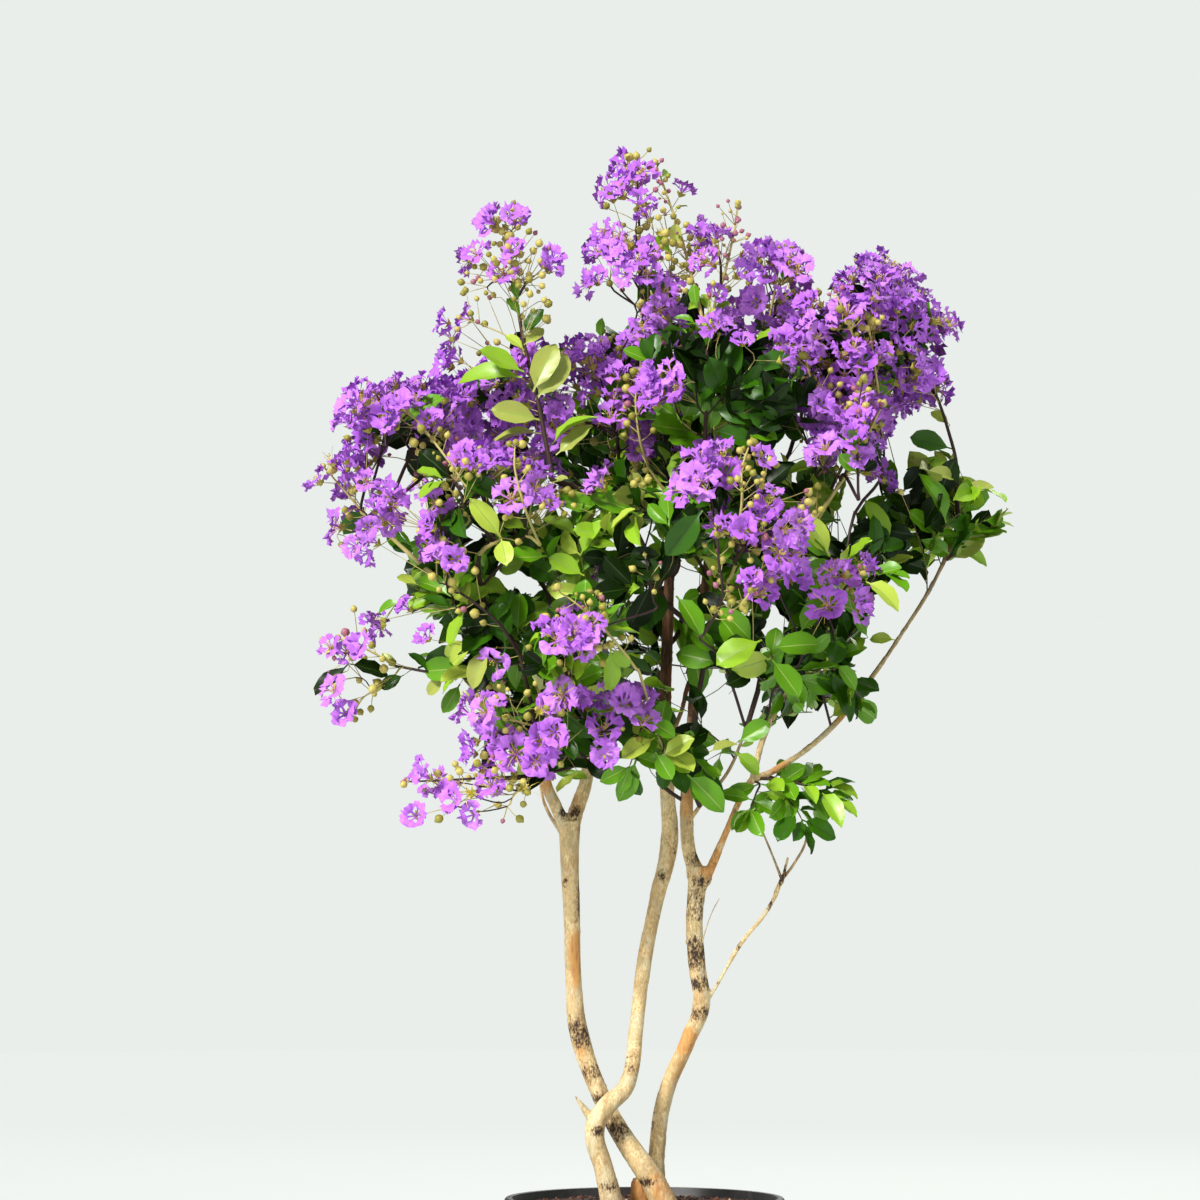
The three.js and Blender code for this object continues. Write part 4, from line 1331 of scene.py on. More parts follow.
# %% Guided shoots
# Shoots that stand clear and the axes of flower heads: what grows on them, their colour, and their
# route in millimetres with a radius at each stop. Branchlets bear pairs of plain leaves, and bare
# shoots only the leaves that have a place of their own. Axes bear side stalks with buds, and a
# panicle long ones with more buds on the way. Bract axes bear short side stalks with small buds,
# and small leaves as well.
GUIDES = {
    "spire_shoot": ("bare", "dark", [
        (-81, -88, 859, 2.4), (-88, -85, 895, 2.1), (-96, -80, 936, 1.8), (-107, -70, 982, 1.5),
        (-112, -65, 1010, 1.3),
    ]),
    "spire_head": ("panicle", "green", [
        (-112, -65, 1010, 1.2), (-116, -60, 1033, 1.1), (-120, -54, 1071, 0.9),
        (-125, -50, 1100, 0.7),
    ]),
    "spire_side": ("axis", "green", [
        (-105, -72, 972, 0.8), (-122, -68, 990, 0.7), (-145, -64, 1001, 0.6),
        (-161, -62, 1007, 0.5),
    ]),
    "spray_shoot": ("bare", "dark", [
        (-110, -42, 702, 2.0), (-147, -42, 693, 1.6), (-182, -42, 691, 1.3), (-223, -38, 698, 1.1),
    ]),
    "spray_head": ("axis", "green", [
        (-223, -38, 698, 0.9), (-244, -36, 711, 0.8), (-263, -34, 719, 0.7), (-277, -32, 713, 0.6),
    ]),
    "spray_low": ("axis", "green", [
        (-218, -38, 696, 0.8), (-232, -36, 680, 0.7), (-250, -34, 671, 0.6), (-259, -33, 657, 0.5),
    ]),
    "top_head": ("bract", "green", [
        (55, -70, 982, 1.7), (52, -66, 1005, 1.6), (43, -58, 1043, 1.4), (34, -50, 1081, 1.2),
        (22, -42, 1119, 1.0), (12, -36, 1150, 0.8),
    ]),
    "top_side_head": ("bract", "green", [
        (55, -66, 989, 1.3), (64, -64, 1024, 1.2), (71, -62, 1045, 1.1), (79, -60, 1079, 0.9),
        (84, -58, 1108, 0.7),
    ]),
    "centre_shoot": ("bare", "dark", [
        (54, -80, 842, 2.0), (52, -104, 874, 1.8), (53, -114, 908, 1.6), (56, -108, 945, 1.5),
        (54, -90, 979, 1.4),
    ]),
    "far_right_shoot": ("bare", "dark", [
        (279, 2, 800, 2.3), (284, 0, 833, 2.0), (284, -2, 860, 1.8), (283, -4, 887, 1.5),
        (276, -6, 914, 1.3), (269, -8, 936, 1.1), (259, -10, 960, 0.9),
    ]),
    "lowest_left_head": ("axis", "dark", [
        (-52, -60, 612, 1.8), (-75, -85, 603, 1.6), (-110, -105, 597, 1.4), (-144, -115, 595, 1.1),
        (-179, -118, 593, 0.9), (-205, -118, 592, 0.7),
    ]),
    "lowest_left_side": ("axis", "green", [
        (-101, -100, 597, 0.9), (-118, -105, 576, 0.7), (-123, -105, 563, 0.6),
    ]),
    "right_head_a": ("axis", "green", [
        (190, -70, 933, 1.3), (189, -84, 973, 1.1), (180, -92, 999, 0.9), (171, -90, 1023, 0.7),
    ]),
    "right_head_b": ("axis", "green", [
        (209, -70, 933, 1.1), (202, -84, 976, 0.9), (198, -88, 1000, 0.7),
    ]),
    "right_head_c": ("axis", "green", [
        (160, -84, 922, 1.1), (147, -96, 947, 0.9), (142, -96, 965, 0.7),
    ]),
    "right_low_head": ("bract", "dark", [
        (186, -120, 838, 1.3), (185, -130, 872, 1.2), (184, -130, 907, 1.0), (190, -120, 939, 0.8),
    ]),
    "front_right_top": ("axis", "green", [
        (78, -200, 803, 1.4), (81, -208, 828, 1.2), (81, -205, 854, 1.0), (87, -198, 874, 0.8),
    ]),
    "front_right_low": ("axis", "dark", [
        (47, -150, 713, 1.4), (64, -190, 744, 1.3), (61, -204, 777, 1.2), (60, -206, 803, 1.0),
    ]),
    "front_right_side": ("axis", "green", [
        (96, -205, 764, 0.9), (83, -210, 743, 0.8), (75, -205, 736, 0.6),
    ]),
    "low_left_spray": ("axis", "green", [
        (-5, -150, 683, 1.3), (-21, -175, 703, 1.1), (-40, -195, 723, 0.9), (-61, -205, 741, 0.8),
        (-74, -205, 750, 0.6),
    ]),
    "left_leaf_spray": ("axis", "dark", [
        (-110, -100, 703, 1.2), (-127, -110, 729, 1.0), (-153, -112, 751, 0.8),
        (-182, -108, 769, 0.6),
    ]),
    "centre_spray": ("axis", "dark", [
        (8, -140, 740, 1.1), (4, -150, 761, 0.9), (0, -152, 782, 0.7),
    ]),
    "left_mid_a": ("axis", "green", [
        (-92, -130, 797, 1.3), (-104, -158, 825, 1.1), (-113, -165, 859, 0.9),
        (-113, -160, 879, 0.7),
    ]),
    "left_mid_b": ("axis", "green", [
        (-127, -120, 803, 1.4), (-147, -120, 835, 1.2), (-173, -110, 874, 1.0),
        (-198, -96, 907, 0.8), (-212, -90, 921, 0.6),
    ]),
    "left_mid_c": ("axis", "green", [
        (-154, -110, 821, 1.0), (-171, -112, 848, 0.8), (-189, -108, 861, 0.6),
    ]),
    "centre_top_spray": ("axis", "green", [
        (5, -40, 874, 1.2), (-4, -60, 898, 1.0), (-8, -66, 933, 0.8), (-4, -60, 957, 0.6),
    ]),
    "low_leaf_left": ("branchlet", "green", [
        (-3, -112, 639, 1), (-8, -118, 623, 0.8), (-14, -120, 605, 0.6),
    ]),
    "low_leaf_middle": ("branchlet", "green", [
        (9, -100, 639, 1), (16, -104, 625, 0.8), (21, -106, 613, 0.6),
    ]),
    "low_leaf_right": ("branchlet", "green", [
        (38, -84, 640, 1), (43, -92, 622, 0.8), (50, -96, 605, 0.6),
    ]),
    "fork_leaf": ("branchlet", "green", [
        (-92, -80, 619, 1), (-82, -84, 609, 0.8), (-73, -86, 600, 0.6),
    ]),
    "tuft_out": ("branchlet", "dark", [
        (104, -50, 597, 1.6), (126, -58, 595, 1.2), (146, -62, 589, 0.9), (161, -64, 582, 0.6),
    ]),
    "tuft_down": ("branchlet", "dark", [
        (113, -54, 592, 1.2), (124, -64, 580, 1.0), (134, -70, 568, 0.7), (138, -72, 560, 0.5),
    ]),
    "tuft_near": ("branchlet", "dark", [
        (102, -54, 592, 1.1), (97, -62, 580, 0.8), (93, -66, 570, 0.5),
    ]),
    "tuft_back": ("branchlet", "dark", [
        (117, -44, 597, 1.2), (135, -36, 586, 0.9), (150, -32, 577, 0.6),
    ]),
    "tuft_top": ("branchlet", "dark", [
        (130, -58, 592, 1.0), (141, -50, 594, 0.8), (151, -44, 589, 0.5),
    ]),
    "left_mid_leaf": ("branchlet", "dark", [
        (-181, -70, 761, 1), (-201, -74, 759, 0.8), (-216, -76, 756, 0.5),
    ]),
    "right_leaf_a": ("branchlet", "dark", [
        (178, -70, 785, 1), (196, -78, 784, 0.8), (210, -80, 779, 0.5),
    ]),
    "right_leaf_b": ("branchlet", "dark", [
        (161, -50, 699, 1), (179, -56, 720, 0.8), (190, -60, 735, 0.5),
    ]),
    "right_leaf_c": ("branchlet", "dark", [
        (171, -40, 712, 0.9), (188, -36, 720, 0.7), (199, -34, 723, 0.5),
    ]),
    "right_leaf_d": ("branchlet", "dark", [
        (160, -30, 670, 1), (172, -34, 670, 0.8), (182, -36, 667, 0.5),
    ]),
    "right_leaf_e": ("branchlet", "dark", [
        (168, -46, 690, 1), (180, -52, 694, 0.8), (188, -54, 692, 0.5),
    ]),
}
print(len(GUIDES), "guided shoots")

# %% Smooth routes
FINE_STEPS = 12


def spline(stops, shares):
    """A smooth curve through rows of numbers, with points at these shares of each stretch."""
    padded = np.concatenate([[2 * stops[0] - stops[1]], stops, [2 * stops[-1] - stops[-2]]])
    shares = shares[:, None]
    stretches = []
    for index in range(len(stops) - 1):
        before, start, end, after = padded[index : index + 4]
        stretches.append(
            0.5 * (2 * start + (end - before) * shares
            + (2 * before - 5 * start + 4 * end - after) * shares**2
            + (3 * start - before - 3 * end + after) * shares**3)
        )
    return np.concatenate(stretches + [stops[-1:]])


def way_along(centre):
    """How far along a line of places each place lies."""
    return np.concatenate([[0], np.cumsum(np.linalg.norm(np.diff(centre, axis=0), axis=1))])


def along(route, step):
    """Evenly spaced places and radii on a smooth curve through the stops of a route, in metres."""
    fine = spline(np.array(route, float) * MM, np.linspace(0, 1, FINE_STEPS, endpoint=False))
    walked = way_along(fine[:, :3])
    wanted = np.linspace(0, walked[-1], max(2, int(round(walked[-1] / step)) + 1))
    return np.stack([np.interp(wanted, walked, fine[:, axis]) for axis in range(4)], axis=1)


print("the spire shoot takes", len(along(GUIDES["spire_shoot"][2], 8 * MM)), "places")

# %% Axes of the flower heads
HUB = np.array((20, 10, 700)) * MM
AXIS_UPTURN = 0.45
AXIS_SAG = np.array((0, 0, -4)) * MM
AXIS_DEPTH = 7 * MM
AXIS_REACH = 150 * MM
AXIS_SEARCH = 3 * MM
GUIDED_MASSES = {"spire_left", "spray_left_low", "spire_top_small", "bloom_lowest_left"}


def head_axis(name):
    """The main axis of a flower head: from the side of its mass that faces the limbs to its tip."""
    middle = np.array(sum(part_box(name), Vector()) / 2)
    way = unit(unit(middle - HUB) + np.array((0, 0, AXIS_UPTURN)))
    ends = []
    for sign in (-1, 1):
        reach = 0.0
        end = middle
        while reach < AXIS_REACH and depth_in(hulls[name], end) > AXIS_DEPTH:
            reach += AXIS_SEARCH
            end = middle + sign * way * reach
        ends.append(end)
    foot, tip = ends
    stops = [foot, foot * 0.66 + tip * 0.34 + AXIS_SAG, foot * 0.3 + tip * 0.7 + AXIS_SAG / 2, tip]
    return [(*(stop / MM), radius) for stop, radius in zip(stops, (1.5, 1.3, 1.0, 0.7))]


axes = dict(GUIDES)
for name in bloom_masses:
    if name not in GUIDED_MASSES:
        axes[name + "_axis"] = ("axis", chance.choice(["green", "dark"]), head_axis(name))
print(len(axes), "guided shoots and flower head axes")

# %% The growing tree
class Tree:
    """The growing tree: for each branch point its place, parent, way and length to the ground."""

    def __init__(self):
        self.places, self.parents, self.ways, self.lengths = [], [], [], []
        self.kinds, self.floors, self.colours = [], [], []

    def add(self, place, parent, kind, way=None, length=None, floor=0.0, colour="green"):
        if way is None:
            gap = place - self.places[parent]
            way = unit(gap)
            length = self.lengths[parent] + float(np.linalg.norm(gap))
        self.places.append(np.asarray(place, float))
        self.parents.append(parent)
        self.ways.append(way)
        self.lengths.append(length)
        self.kinds.append(kind)
        self.floors.append(floor)
        self.colours.append(colour)
        return len(self.places) - 1


tree = Tree()
print("the tree starts with", len(tree.places), "branch points")

# %% Side stalks
STALK_STEP = 8 * MM
STALK_GAPS = 0.2
STALK_UPTURN = np.array((0, 0, 0.22))
# For each kind of axis: how many axis steps lie between side stalks, the length of the stalks, and
# the chance of another bud at each step on the way.
SIDE_STALKS = {"axis": (2, 17 * MM, 0.3), "bract": (1, 11 * MM, 0.6), "panicle": (1, 28 * MM, 0.7)}


def add_side_stalks(tree, node, turn, reach, more_buds, chance):
    """A pair of side stalks at an axis point, each with a bud at its tip and maybe some before."""
    way = tree.ways[node]
    side = unit(np.cross(way, (0.2, 0.9, 0.3)))
    other = np.cross(way, side)
    for half_turn in (0, math.pi):
        if chance.random() < STALK_GAPS:
            continue
        angle = turn + half_turn + chance.normal(0, 0.25)
        out = side * math.cos(angle) + other * math.sin(angle)
        lean = unit(out + way * chance.uniform(0.35, 0.8))
        steps = max(1, round(reach * chance.uniform(0.7, 1.15) / STALK_STEP))
        place, bearer = tree.places[node], node
        for step in range(1, steps + 1):
            place = place + lean * min(STALK_STEP, reach)
            lean = unit(lean + STALK_UPTURN)
            if in_sky_hole(place[None])[0]:
                break
            bearer = tree.add(place, bearer, "bud" if step == steps else "stalk")
            if step < steps and chance.random() < more_buds:
                across = unit(np.cross(lean, way)) * chance.choice([-1, 1])
                tree.add(place + unit(across + 0.5 * lean) * 0.7 * STALK_STEP, bearer, "bud")


print("side stalks in mm:", {kind: round(row[1] / MM) for kind, row in SIDE_STALKS.items()})

# %% Start at the limbs
ROOT_STEP = 7 * MM
ROOT_FROM = 560 * MM
SIDE_TWIGS = ("side_twig_left", "side_twig_right")
UPRIGHT = np.array((0, 0, 1.0))

chance = np.random.default_rng(27)
for name, route in LIMBS.items():
    stops = along(route, ROOT_STEP)
    ways = unit(np.gradient(stops[:, :3], axis=0))
    for stop, way in zip(stops, ways):
        if stop[2] > ROOT_FROM and name not in (*SIDE_TWIGS, "side_stub"):
            tree.add(stop[:3], -1, "limb", way, float(stop[2]), float(stop[3]))
for name in SIDE_TWIGS:
    stop = along(LIMBS[name], ROOT_STEP)[-1]
    tree.add(stop[:3], -1, "limb", UPRIGHT, float(stop[2]), float(stop[3]))
root_count = len(tree.places)
print(root_count, "branch points on the limbs")

# %% Points still open
AXIS_STEP = 8 * MM

open_places, open_kinds, open_routes = [], [], []
for kind, colour, route in axes.values():
    stops = along(route, AXIS_STEP)
    open_places.append(stops[0, :3])
    open_kinds.append(kind)
    open_routes.append((colour, stops))
inner_points = [[from_frame(column, row, depth * MM)] for column, row, depth in INNER_LEAVES]
for kind, groups in (
    ("leaf", leaf_points), ("stalk", stalk_points), ("flower", flower_points),
    ("bud", bud_points), ("inner", inner_points),
):
    open_places.extend(np.concatenate(groups))
    open_kinds.extend([kind] * (len(open_places) - len(open_kinds)))
first_set = len(open_places)
for foot, tip, kind in set_leaves:
    open_places.append(foot)
    open_kinds.append(kind)
open_routes.extend([None] * (len(open_places) - len(open_routes)))
open_places = np.array(open_places)
print(len(open_places), "open points")

# %% Grow the branches
TURN_COST = 0.55
WAY_COST = 0.32
CARRIES = {"leaf", "stalk", "inner"}
BUDS_FROM = 0.25
TOP_BUD_REACH = 5 * MM
set_tips = {}
is_open = np.ones(len(open_places), bool)
best_cost = np.full(len(open_places), np.inf)
best_from = np.zeros(len(open_places), int)


def offer(branch):
    """Lets a new branch point bid for every open point."""
    gap = open_places - tree.places[branch]
    distance = np.linalg.norm(gap, axis=1)
    ahead = (gap @ tree.ways[branch]) / np.maximum(distance, 1e-9)
    cost = distance * (1 + TURN_COST * (1 - ahead)) + WAY_COST * tree.lengths[branch]
    better = is_open & (cost < best_cost)
    best_cost[better] = cost[better]
    best_from[better] = branch


for branch in range(root_count):
    offer(branch)
while is_open.any():
    chosen = int(np.argmin(np.where(is_open, best_cost, np.inf)))
    is_open[chosen] = False
    kind, route = open_kinds[chosen], open_routes[chosen]
    parent = int(best_from[chosen])
    if route is None:
        branch = tree.add(open_places[chosen], parent, kind)
        if kind in CARRIES:
            offer(branch)
        if chosen >= first_set:
            set_tips[branch] = set_leaves[chosen - first_set][1]
    else:
        colour, stops = route
        axis_nodes = []
        for stop in stops:
            parent = tree.add(stop[:3], parent, kind, floor=float(stop[3]), colour=colour)
            axis_nodes.append(parent)
            offer(parent)
        if kind in SIDE_STALKS:
            steps, full, more_buds = SIDE_STALKS[kind]
            for index, node in enumerate(axis_nodes):
                share = index / (len(axis_nodes) - 1)
                if share >= BUDS_FROM and index % steps == 0:
                    reach = full * (1.25 - 0.6 * share)
                    turn = index / steps * math.pi / 2
                    add_side_stalks(tree, node, turn, reach, more_buds, chance)
            # The last axis point bears the top bud.
            tree.add(tree.places[node] + tree.ways[node] * TOP_BUD_REACH, node, "bud")
print("tree:", len(tree.places), "branch points")

# %% Prune and thicken
TIP_RADIUS = 0.45 * MM
PIPE_POWER = 2.6
THICKEST_BOUGH = 2.4 * MM
GUIDED_SWELL = 0.25

places = np.array(tree.places)
parents = np.array(tree.parents)
kinds = np.array(tree.kinds)
colours = np.array(tree.colours)
is_guided = np.isin(kinds, [*SIDE_STALKS, "branchlet", "bare"])
load = np.zeros(len(places))
for branch in range(len(places) - 1, root_count - 1, -1):
    if load[branch] == 0 and kinds[branch] != "stalk":
        load[branch] = 1
    if load[branch] > 0 and parents[branch] >= 0:
        load[parents[branch]] += load[branch]
alive = load > 0
radii = np.minimum(TIP_RADIUS * load ** (1 / PIPE_POWER), THICKEST_BOUGH)
guided_radii = np.array(tree.floors)
swollen = guided_radii + GUIDED_SWELL * np.maximum(radii - guided_radii, 0)
radii = np.where(is_guided, swollen, radii)
main_child = np.full(len(places), -1)
for branch in range(root_count, len(places)):
    parent = parents[branch]
    if alive[branch] and (main_child[parent] < 0 or load[branch] > load[main_child[parent]]):
        main_child[parent] = branch
print("alive:", int(alive.sum()), "thickest", round(float(radii.max()) / MM, 1), "mm radius")

# %% [markdown]
# ## Boughs, twigs and stalks
#
# The tree is cut into runs: each run starts where it leaves its parent and follows the strongest
# child to a tip. A run becomes one tapering tube on a smooth curve, so it has no joints. Thick
# boughs get more sides than hair-thin flower stalks.

# %% Runs
RUN_STEPS = 3


def smooth_run(stops):
    """A smooth curve through rows of numbers, with RUN_STEPS steps between stops."""
    if len(stops) < 3:
        return np.array([stops[0], stops.mean(axis=0), stops[-1]])
    return spline(stops, np.linspace(0, 1, RUN_STEPS, endpoint=False))


runs = []
for branch in range(root_count, len(places)):
    parent = parents[branch]
    starts_run = alive[branch] and (parent < root_count or main_child[parent] != branch)
    if not starts_run:
        continue
    line = [parent, branch]
    while main_child[line[-1]] >= 0:
        line.append(int(main_child[line[-1]]))
    thickness = radii[line].copy()
    thickness[0] = thickness[1]
    stops = np.concatenate([places[line], thickness[:, None]], axis=1)
    runs.append((line, smooth_run(stops)))
print(len(runs), "runs")


# %% Tubes
def tube(curve, sides):
    """A tapering tube round a curve of [x, y, z, radius] rows, closed at its tip."""
    centre, radius = curve[:, :3], curve[:, 3].copy()
    radius[-1] *= 0.5
    way = unit(np.gradient(centre, axis=0))
    side = unit(np.cross(way[0], (0.31, 0.47, 0.83)))
    angles = np.arange(sides) * 2 * math.pi / sides
    rings = []
    for index in range(len(centre)):
        side = unit(side - way[index] * (side @ way[index]))
        across = np.cross(way[index], side)
        ring = np.cos(angles)[:, None] * side + np.sin(angles)[:, None] * across
        rings.append(centre[index] + ring * radius[index])
    points = np.concatenate(rings + [centre[-1:] + way[-1:] * radius[-1]])
    here = np.arange(sides)
    after = (here + 1) % sides
    triangles = []
    for index in range(len(centre) - 1):
        low, high = index * sides, (index + 1) * sides
        triangles.append(np.stack([low + here, low + after, high + after], axis=1))
        triangles.append(np.stack([low + here, high + after, high + here], axis=1))
    last = (len(centre) - 1) * sides
    triangles.append(np.stack([last + here, last + after, np.full(sides, len(points) - 1)], axis=1))
    return points, np.concatenate(triangles)


print("longest run:", max(len(line) for line, curve in runs), "branch points")

# %% Boughs, twigs and stalks
BOUGH_FROM = 1.5 * MM
TWIG_FROM = 0.8 * MM
OLD_TWIG_FROM = 1.0 * MM
OLD_STALK_FROM = 0.68 * MM
wood_parts, stalk_parts = [], []
for line, curve in runs:
    thick = curve[0, 3]
    sides = 8 if thick > BOUGH_FROM else 5 if thick > TWIG_FROM else 3
    points, triangles = tube(curve, sides)
    steps = len(curve) - 1
    ring_of = np.minimum(np.repeat(np.arange(steps), 2 * sides), steps - 1)
    ring_of = np.concatenate([ring_of, np.full(sides, steps - 1)])
    node_of = np.array(line)[np.minimum(1 + ring_of // RUN_STEPS, len(line) - 1)]
    is_dark = colours[node_of] == "dark"
    if kinds[line[-1]] in ("flower", "bud", *SIDE_STALKS):
        is_dark = is_dark | (curve[ring_of, 3] > OLD_STALK_FROM) & ~is_guided[node_of]
        is_wood = is_dark & (curve[ring_of, 3] > BOUGH_FROM)
        stalk_parts.append(Shape(points, triangles, is_dark.astype(int) + is_wood))
    else:
        is_young = (curve[ring_of, 3] < OLD_TWIG_FROM) & ~is_dark
        wood_parts.append(Shape(points, triangles, is_young.astype(int)))
boughs = build("boughs_and_twigs", together(*wood_parts), [twig_finish, young_twig_finish])
stalks = build(
    "flower_stalks", together(*stalk_parts), [stalk_finish, stalk_dark_finish, twig_finish]
)
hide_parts(*CROWN_SHOOTS)
for piece in (boughs, stalks):
    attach(piece, "root")

# %% [markdown]
# ## One leaf
#
# A leaf is a sheet with its own outline: narrow at the stalk, widest past the middle, with a blunt
# point. A grid is the simplest start. Its columns are gathered into a thin pale rib with two half
# blades, its rows lean forward as the side veins do, and the whole is folded, bent and rippled.
# Seven leaves with different bends are enough for the eye to see no repeats.

# %% Leaf shapes
LEAF_ROWS = 7
LEAF_COLUMNS = (-1.0, -0.56, -0.05, 0.05, 0.56, 1.0)
LEAF_STRIPS = len(LEAF_COLUMNS) - 1
BLADE_FROM = 0.12
VEIN_LEAN = 0.09
QUILT = 0.008
STALK_WIDTH, TIP_WIDTH = 0.022, 0.012
RIB_SLOT = len(leaf_finishes)
chance = np.random.default_rng(33)


def leaf_shape(breadth, bend, fold, ripple, twist):
    """A leaf of length 1 that starts at the origin and points along Y, with its top up."""
    clear_selection()
    bpy.ops.mesh.primitive_grid_add(x_subdivisions=LEAF_STRIPS, y_subdivisions=LEAF_ROWS, size=1)
    leaf = bpy.context.object
    for point in leaf.data.vertices:
        column = LEAF_COLUMNS[round((point.co.x + 0.5) * LEAF_STRIPS)]
        row = round((point.co.y + 0.5) * LEAF_ROWS)
        reach = 0.0 if row == 0 else BLADE_FROM + (1 - BLADE_FROM) * (row - 1) / (LEAF_ROWS - 1)
        blade = max(0.0, (reach - BLADE_FROM) / (1 - BLADE_FROM))
        width = breadth * 2.53 * blade**0.6 * (1 - blade) ** 0.75
        width = max(width, STALK_WIDTH if row < 2 else TIP_WIDTH)
        length = reach + VEIN_LEAN * abs(column) * math.sin(math.pi * blade)
        out = column * width
        wave = ripple * math.sin(5.2 * math.pi * blade + 1.3 * column) * abs(column)
        quilt = QUILT * (-1) ** row * abs(column) * (1 - abs(column)) * 4
        height = fold * abs(out) - bend * length * length + (wave + quilt) * (blade > 0)
        turn = twist * length
        aside = out * math.cos(turn) - height * 0.2 * math.sin(turn)
        point.co = (aside, length, height + out * math.sin(turn))
    for face in leaf.data.polygons:
        is_rib = face.index % LEAF_STRIPS == LEAF_STRIPS // 2
        face.material_index = RIB_SLOT if is_rib else 0
    return shape_of(leaf)


leaf_shapes = [
    leaf_shape(0.25, 0.10, 0.42, 0.022, 0.15), leaf_shape(0.26, 0.24, 0.30, 0.030, -0.2),
    leaf_shape(0.22, 0.34, 0.58, 0.026, 0.3), leaf_shape(0.25, -0.08, 0.48, 0.032, -0.35),
    leaf_shape(0.28, 0.16, 0.22, 0.034, 0.1), leaf_shape(0.23, 0.42, 0.62, 0.022, -0.15),
    leaf_shape(0.26, 0.02, 0.35, 0.040, 0.45),
]
print("leaf:", len(leaf_shapes[0].triangles), "triangles")

# %% [markdown]
# ## Leaves on the twigs
#
# Crape myrtle bears its leaves in pairs, one on each side of the twig, with a tuft of three at the
# tip. The leaf stands well off the twig and turns its face to the open: away from the mass that it
# grows in, away from the crown's middle, and up. A leaf that would cover a sky hole or a flower
# cluster, or stray far out of the crown, is left off. Leaves deep inside and in shaded places are
# dealt darker tones, as painted shade, and leaves in lit places pale ones, as painted light.

# %% Where leaves face
CROWN_AXIS = np.array((10, 10, 0)) * MM
LEAF_LENGTH = 36 * MM
LEAF_SIZES = {
    "leaf": LEAF_LENGTH, "branchlet": LEAF_LENGTH * 0.9, "inner": LEAF_LENGTH * 0.9,
    "bract": 20 * MM,
}


def to_the_open(place):
    """The way to open air and light at a place."""
    nearest, normal, face, distance = crown_hull.find_nearest(Vector(place))
    flat = (place - CROWN_AXIS) * np.array((1, 1, 0))
    return unit(0.6 * np.array(normal) + 0.45 * unit(flat) + np.array((0, 0, 0.5)))


print("leaf lengths in mm:", {kind: round(size / MM, 1) for kind, size in LEAF_SIZES.items()})

# %% Leaves along the twigs
PAIR_STEP = 16 * MM
FIRST_PAIR, LAST_PAIR = 9 * MM, 4 * MM
MISSING_LEAVES = 0.08
PAIR_ANGLES = (45, 75)
LEAFY_RADIUS = 1.5 * MM
LEAF_RISE = np.array((0, 0, 0.2))
SET_LEAF_TOP = np.array((0, -0.8, 0.55))
TIP_TURNS = (-0.75, 0.1, 0.8)

# Each leaf has its base, its way, its upper side, its length and the number of its run.
leaves = []
for spray, (line, curve) in enumerate(runs):
    centre, thickness = curve[:, :3], curve[:, 3]
    if line[-1] in set_tips:
        way = set_tips[line[-1]] - centre[-1]
        upward = unit(SET_LEAF_TOP + chance.normal(0, 0.2, 3))
        leaves.append((centre[-1], way, upward, float(np.linalg.norm(way)), spray))
    steps = way_along(centre)
    sizes = [LEAF_SIZES.get(kinds[index], 0) for index in line]
    if not any(sizes[1:]):
        continue
    stop_steps = steps[::RUN_STEPS][: len(line)] if len(line) > 2 else steps[[0, -1]]
    walk = FIRST_PAIR
    while walk < steps[-1] - LAST_PAIR:
        place = np.array([np.interp(walk, steps, centre[:, axis]) for axis in range(3)])
        thick = np.interp(walk, steps, thickness)
        stop = min(int(np.searchsorted(stop_steps, walk)), len(line) - 1)
        if sizes[stop] and (thick < LEAFY_RADIUS or is_guided[line[stop]]):
            near = min(int(np.searchsorted(steps, walk)), len(centre) - 1)
            way = unit(centre[near] - centre[near - 1])
            light = unit(to_the_open(place) + chance.normal(0, 0.4, 3))
            if kinds[line[stop]] == "branchlet":
                light = unit(SET_LEAF_TOP + chance.normal(0, 0.3, 3))
            side = unit(np.cross(way, light))
            for sign in (-1, 1):
                if chance.random() < MISSING_LEAVES:
                    continue
                angle = math.radians(chance.uniform(*PAIR_ANGLES))
                lift = chance.normal(0.0, 0.25)
                forward = way * math.cos(angle) + sign * side * math.sin(angle) + light * lift
                forward = forward + LEAF_RISE
                upward = unit(light + chance.normal(0, 0.25, 3))
                length = sizes[stop] * chance.normal(1, 0.17)
                leaves.append((place + sign * side * thick, forward, upward, length, spray))
        walk += PAIR_STEP * chance.uniform(0.8, 1.25)
    if sizes[-1]:
        tip = centre[-1]
        way = unit(centre[-1] - centre[-2])
        light = unit(to_the_open(tip) + chance.normal(0, 0.35, 3))
        side = unit(np.cross(way, light))
        for turn in TIP_TURNS:
            forward = way + side * turn + chance.normal(0, 0.12, 3)
            length = sizes[-1] * chance.normal(0.86, 0.16)
            upward = unit(light + chance.normal(0, 0.25, 3))
            leaves.append((tip, forward, upward, length, spray))
print("leaves offered:", len(leaves))

# %% Leaves that are left off
LEAF_LIMITS = (11 * MM, 48 * MM)
LEAF_STRAY = 18 * MM
MIDDLE_SKY_MARGIN, TIP_SKY_MARGIN = 1.25, 1.1
FRONT_DEPTH = 12 * MM
CLUSTER_MARGIN = 3

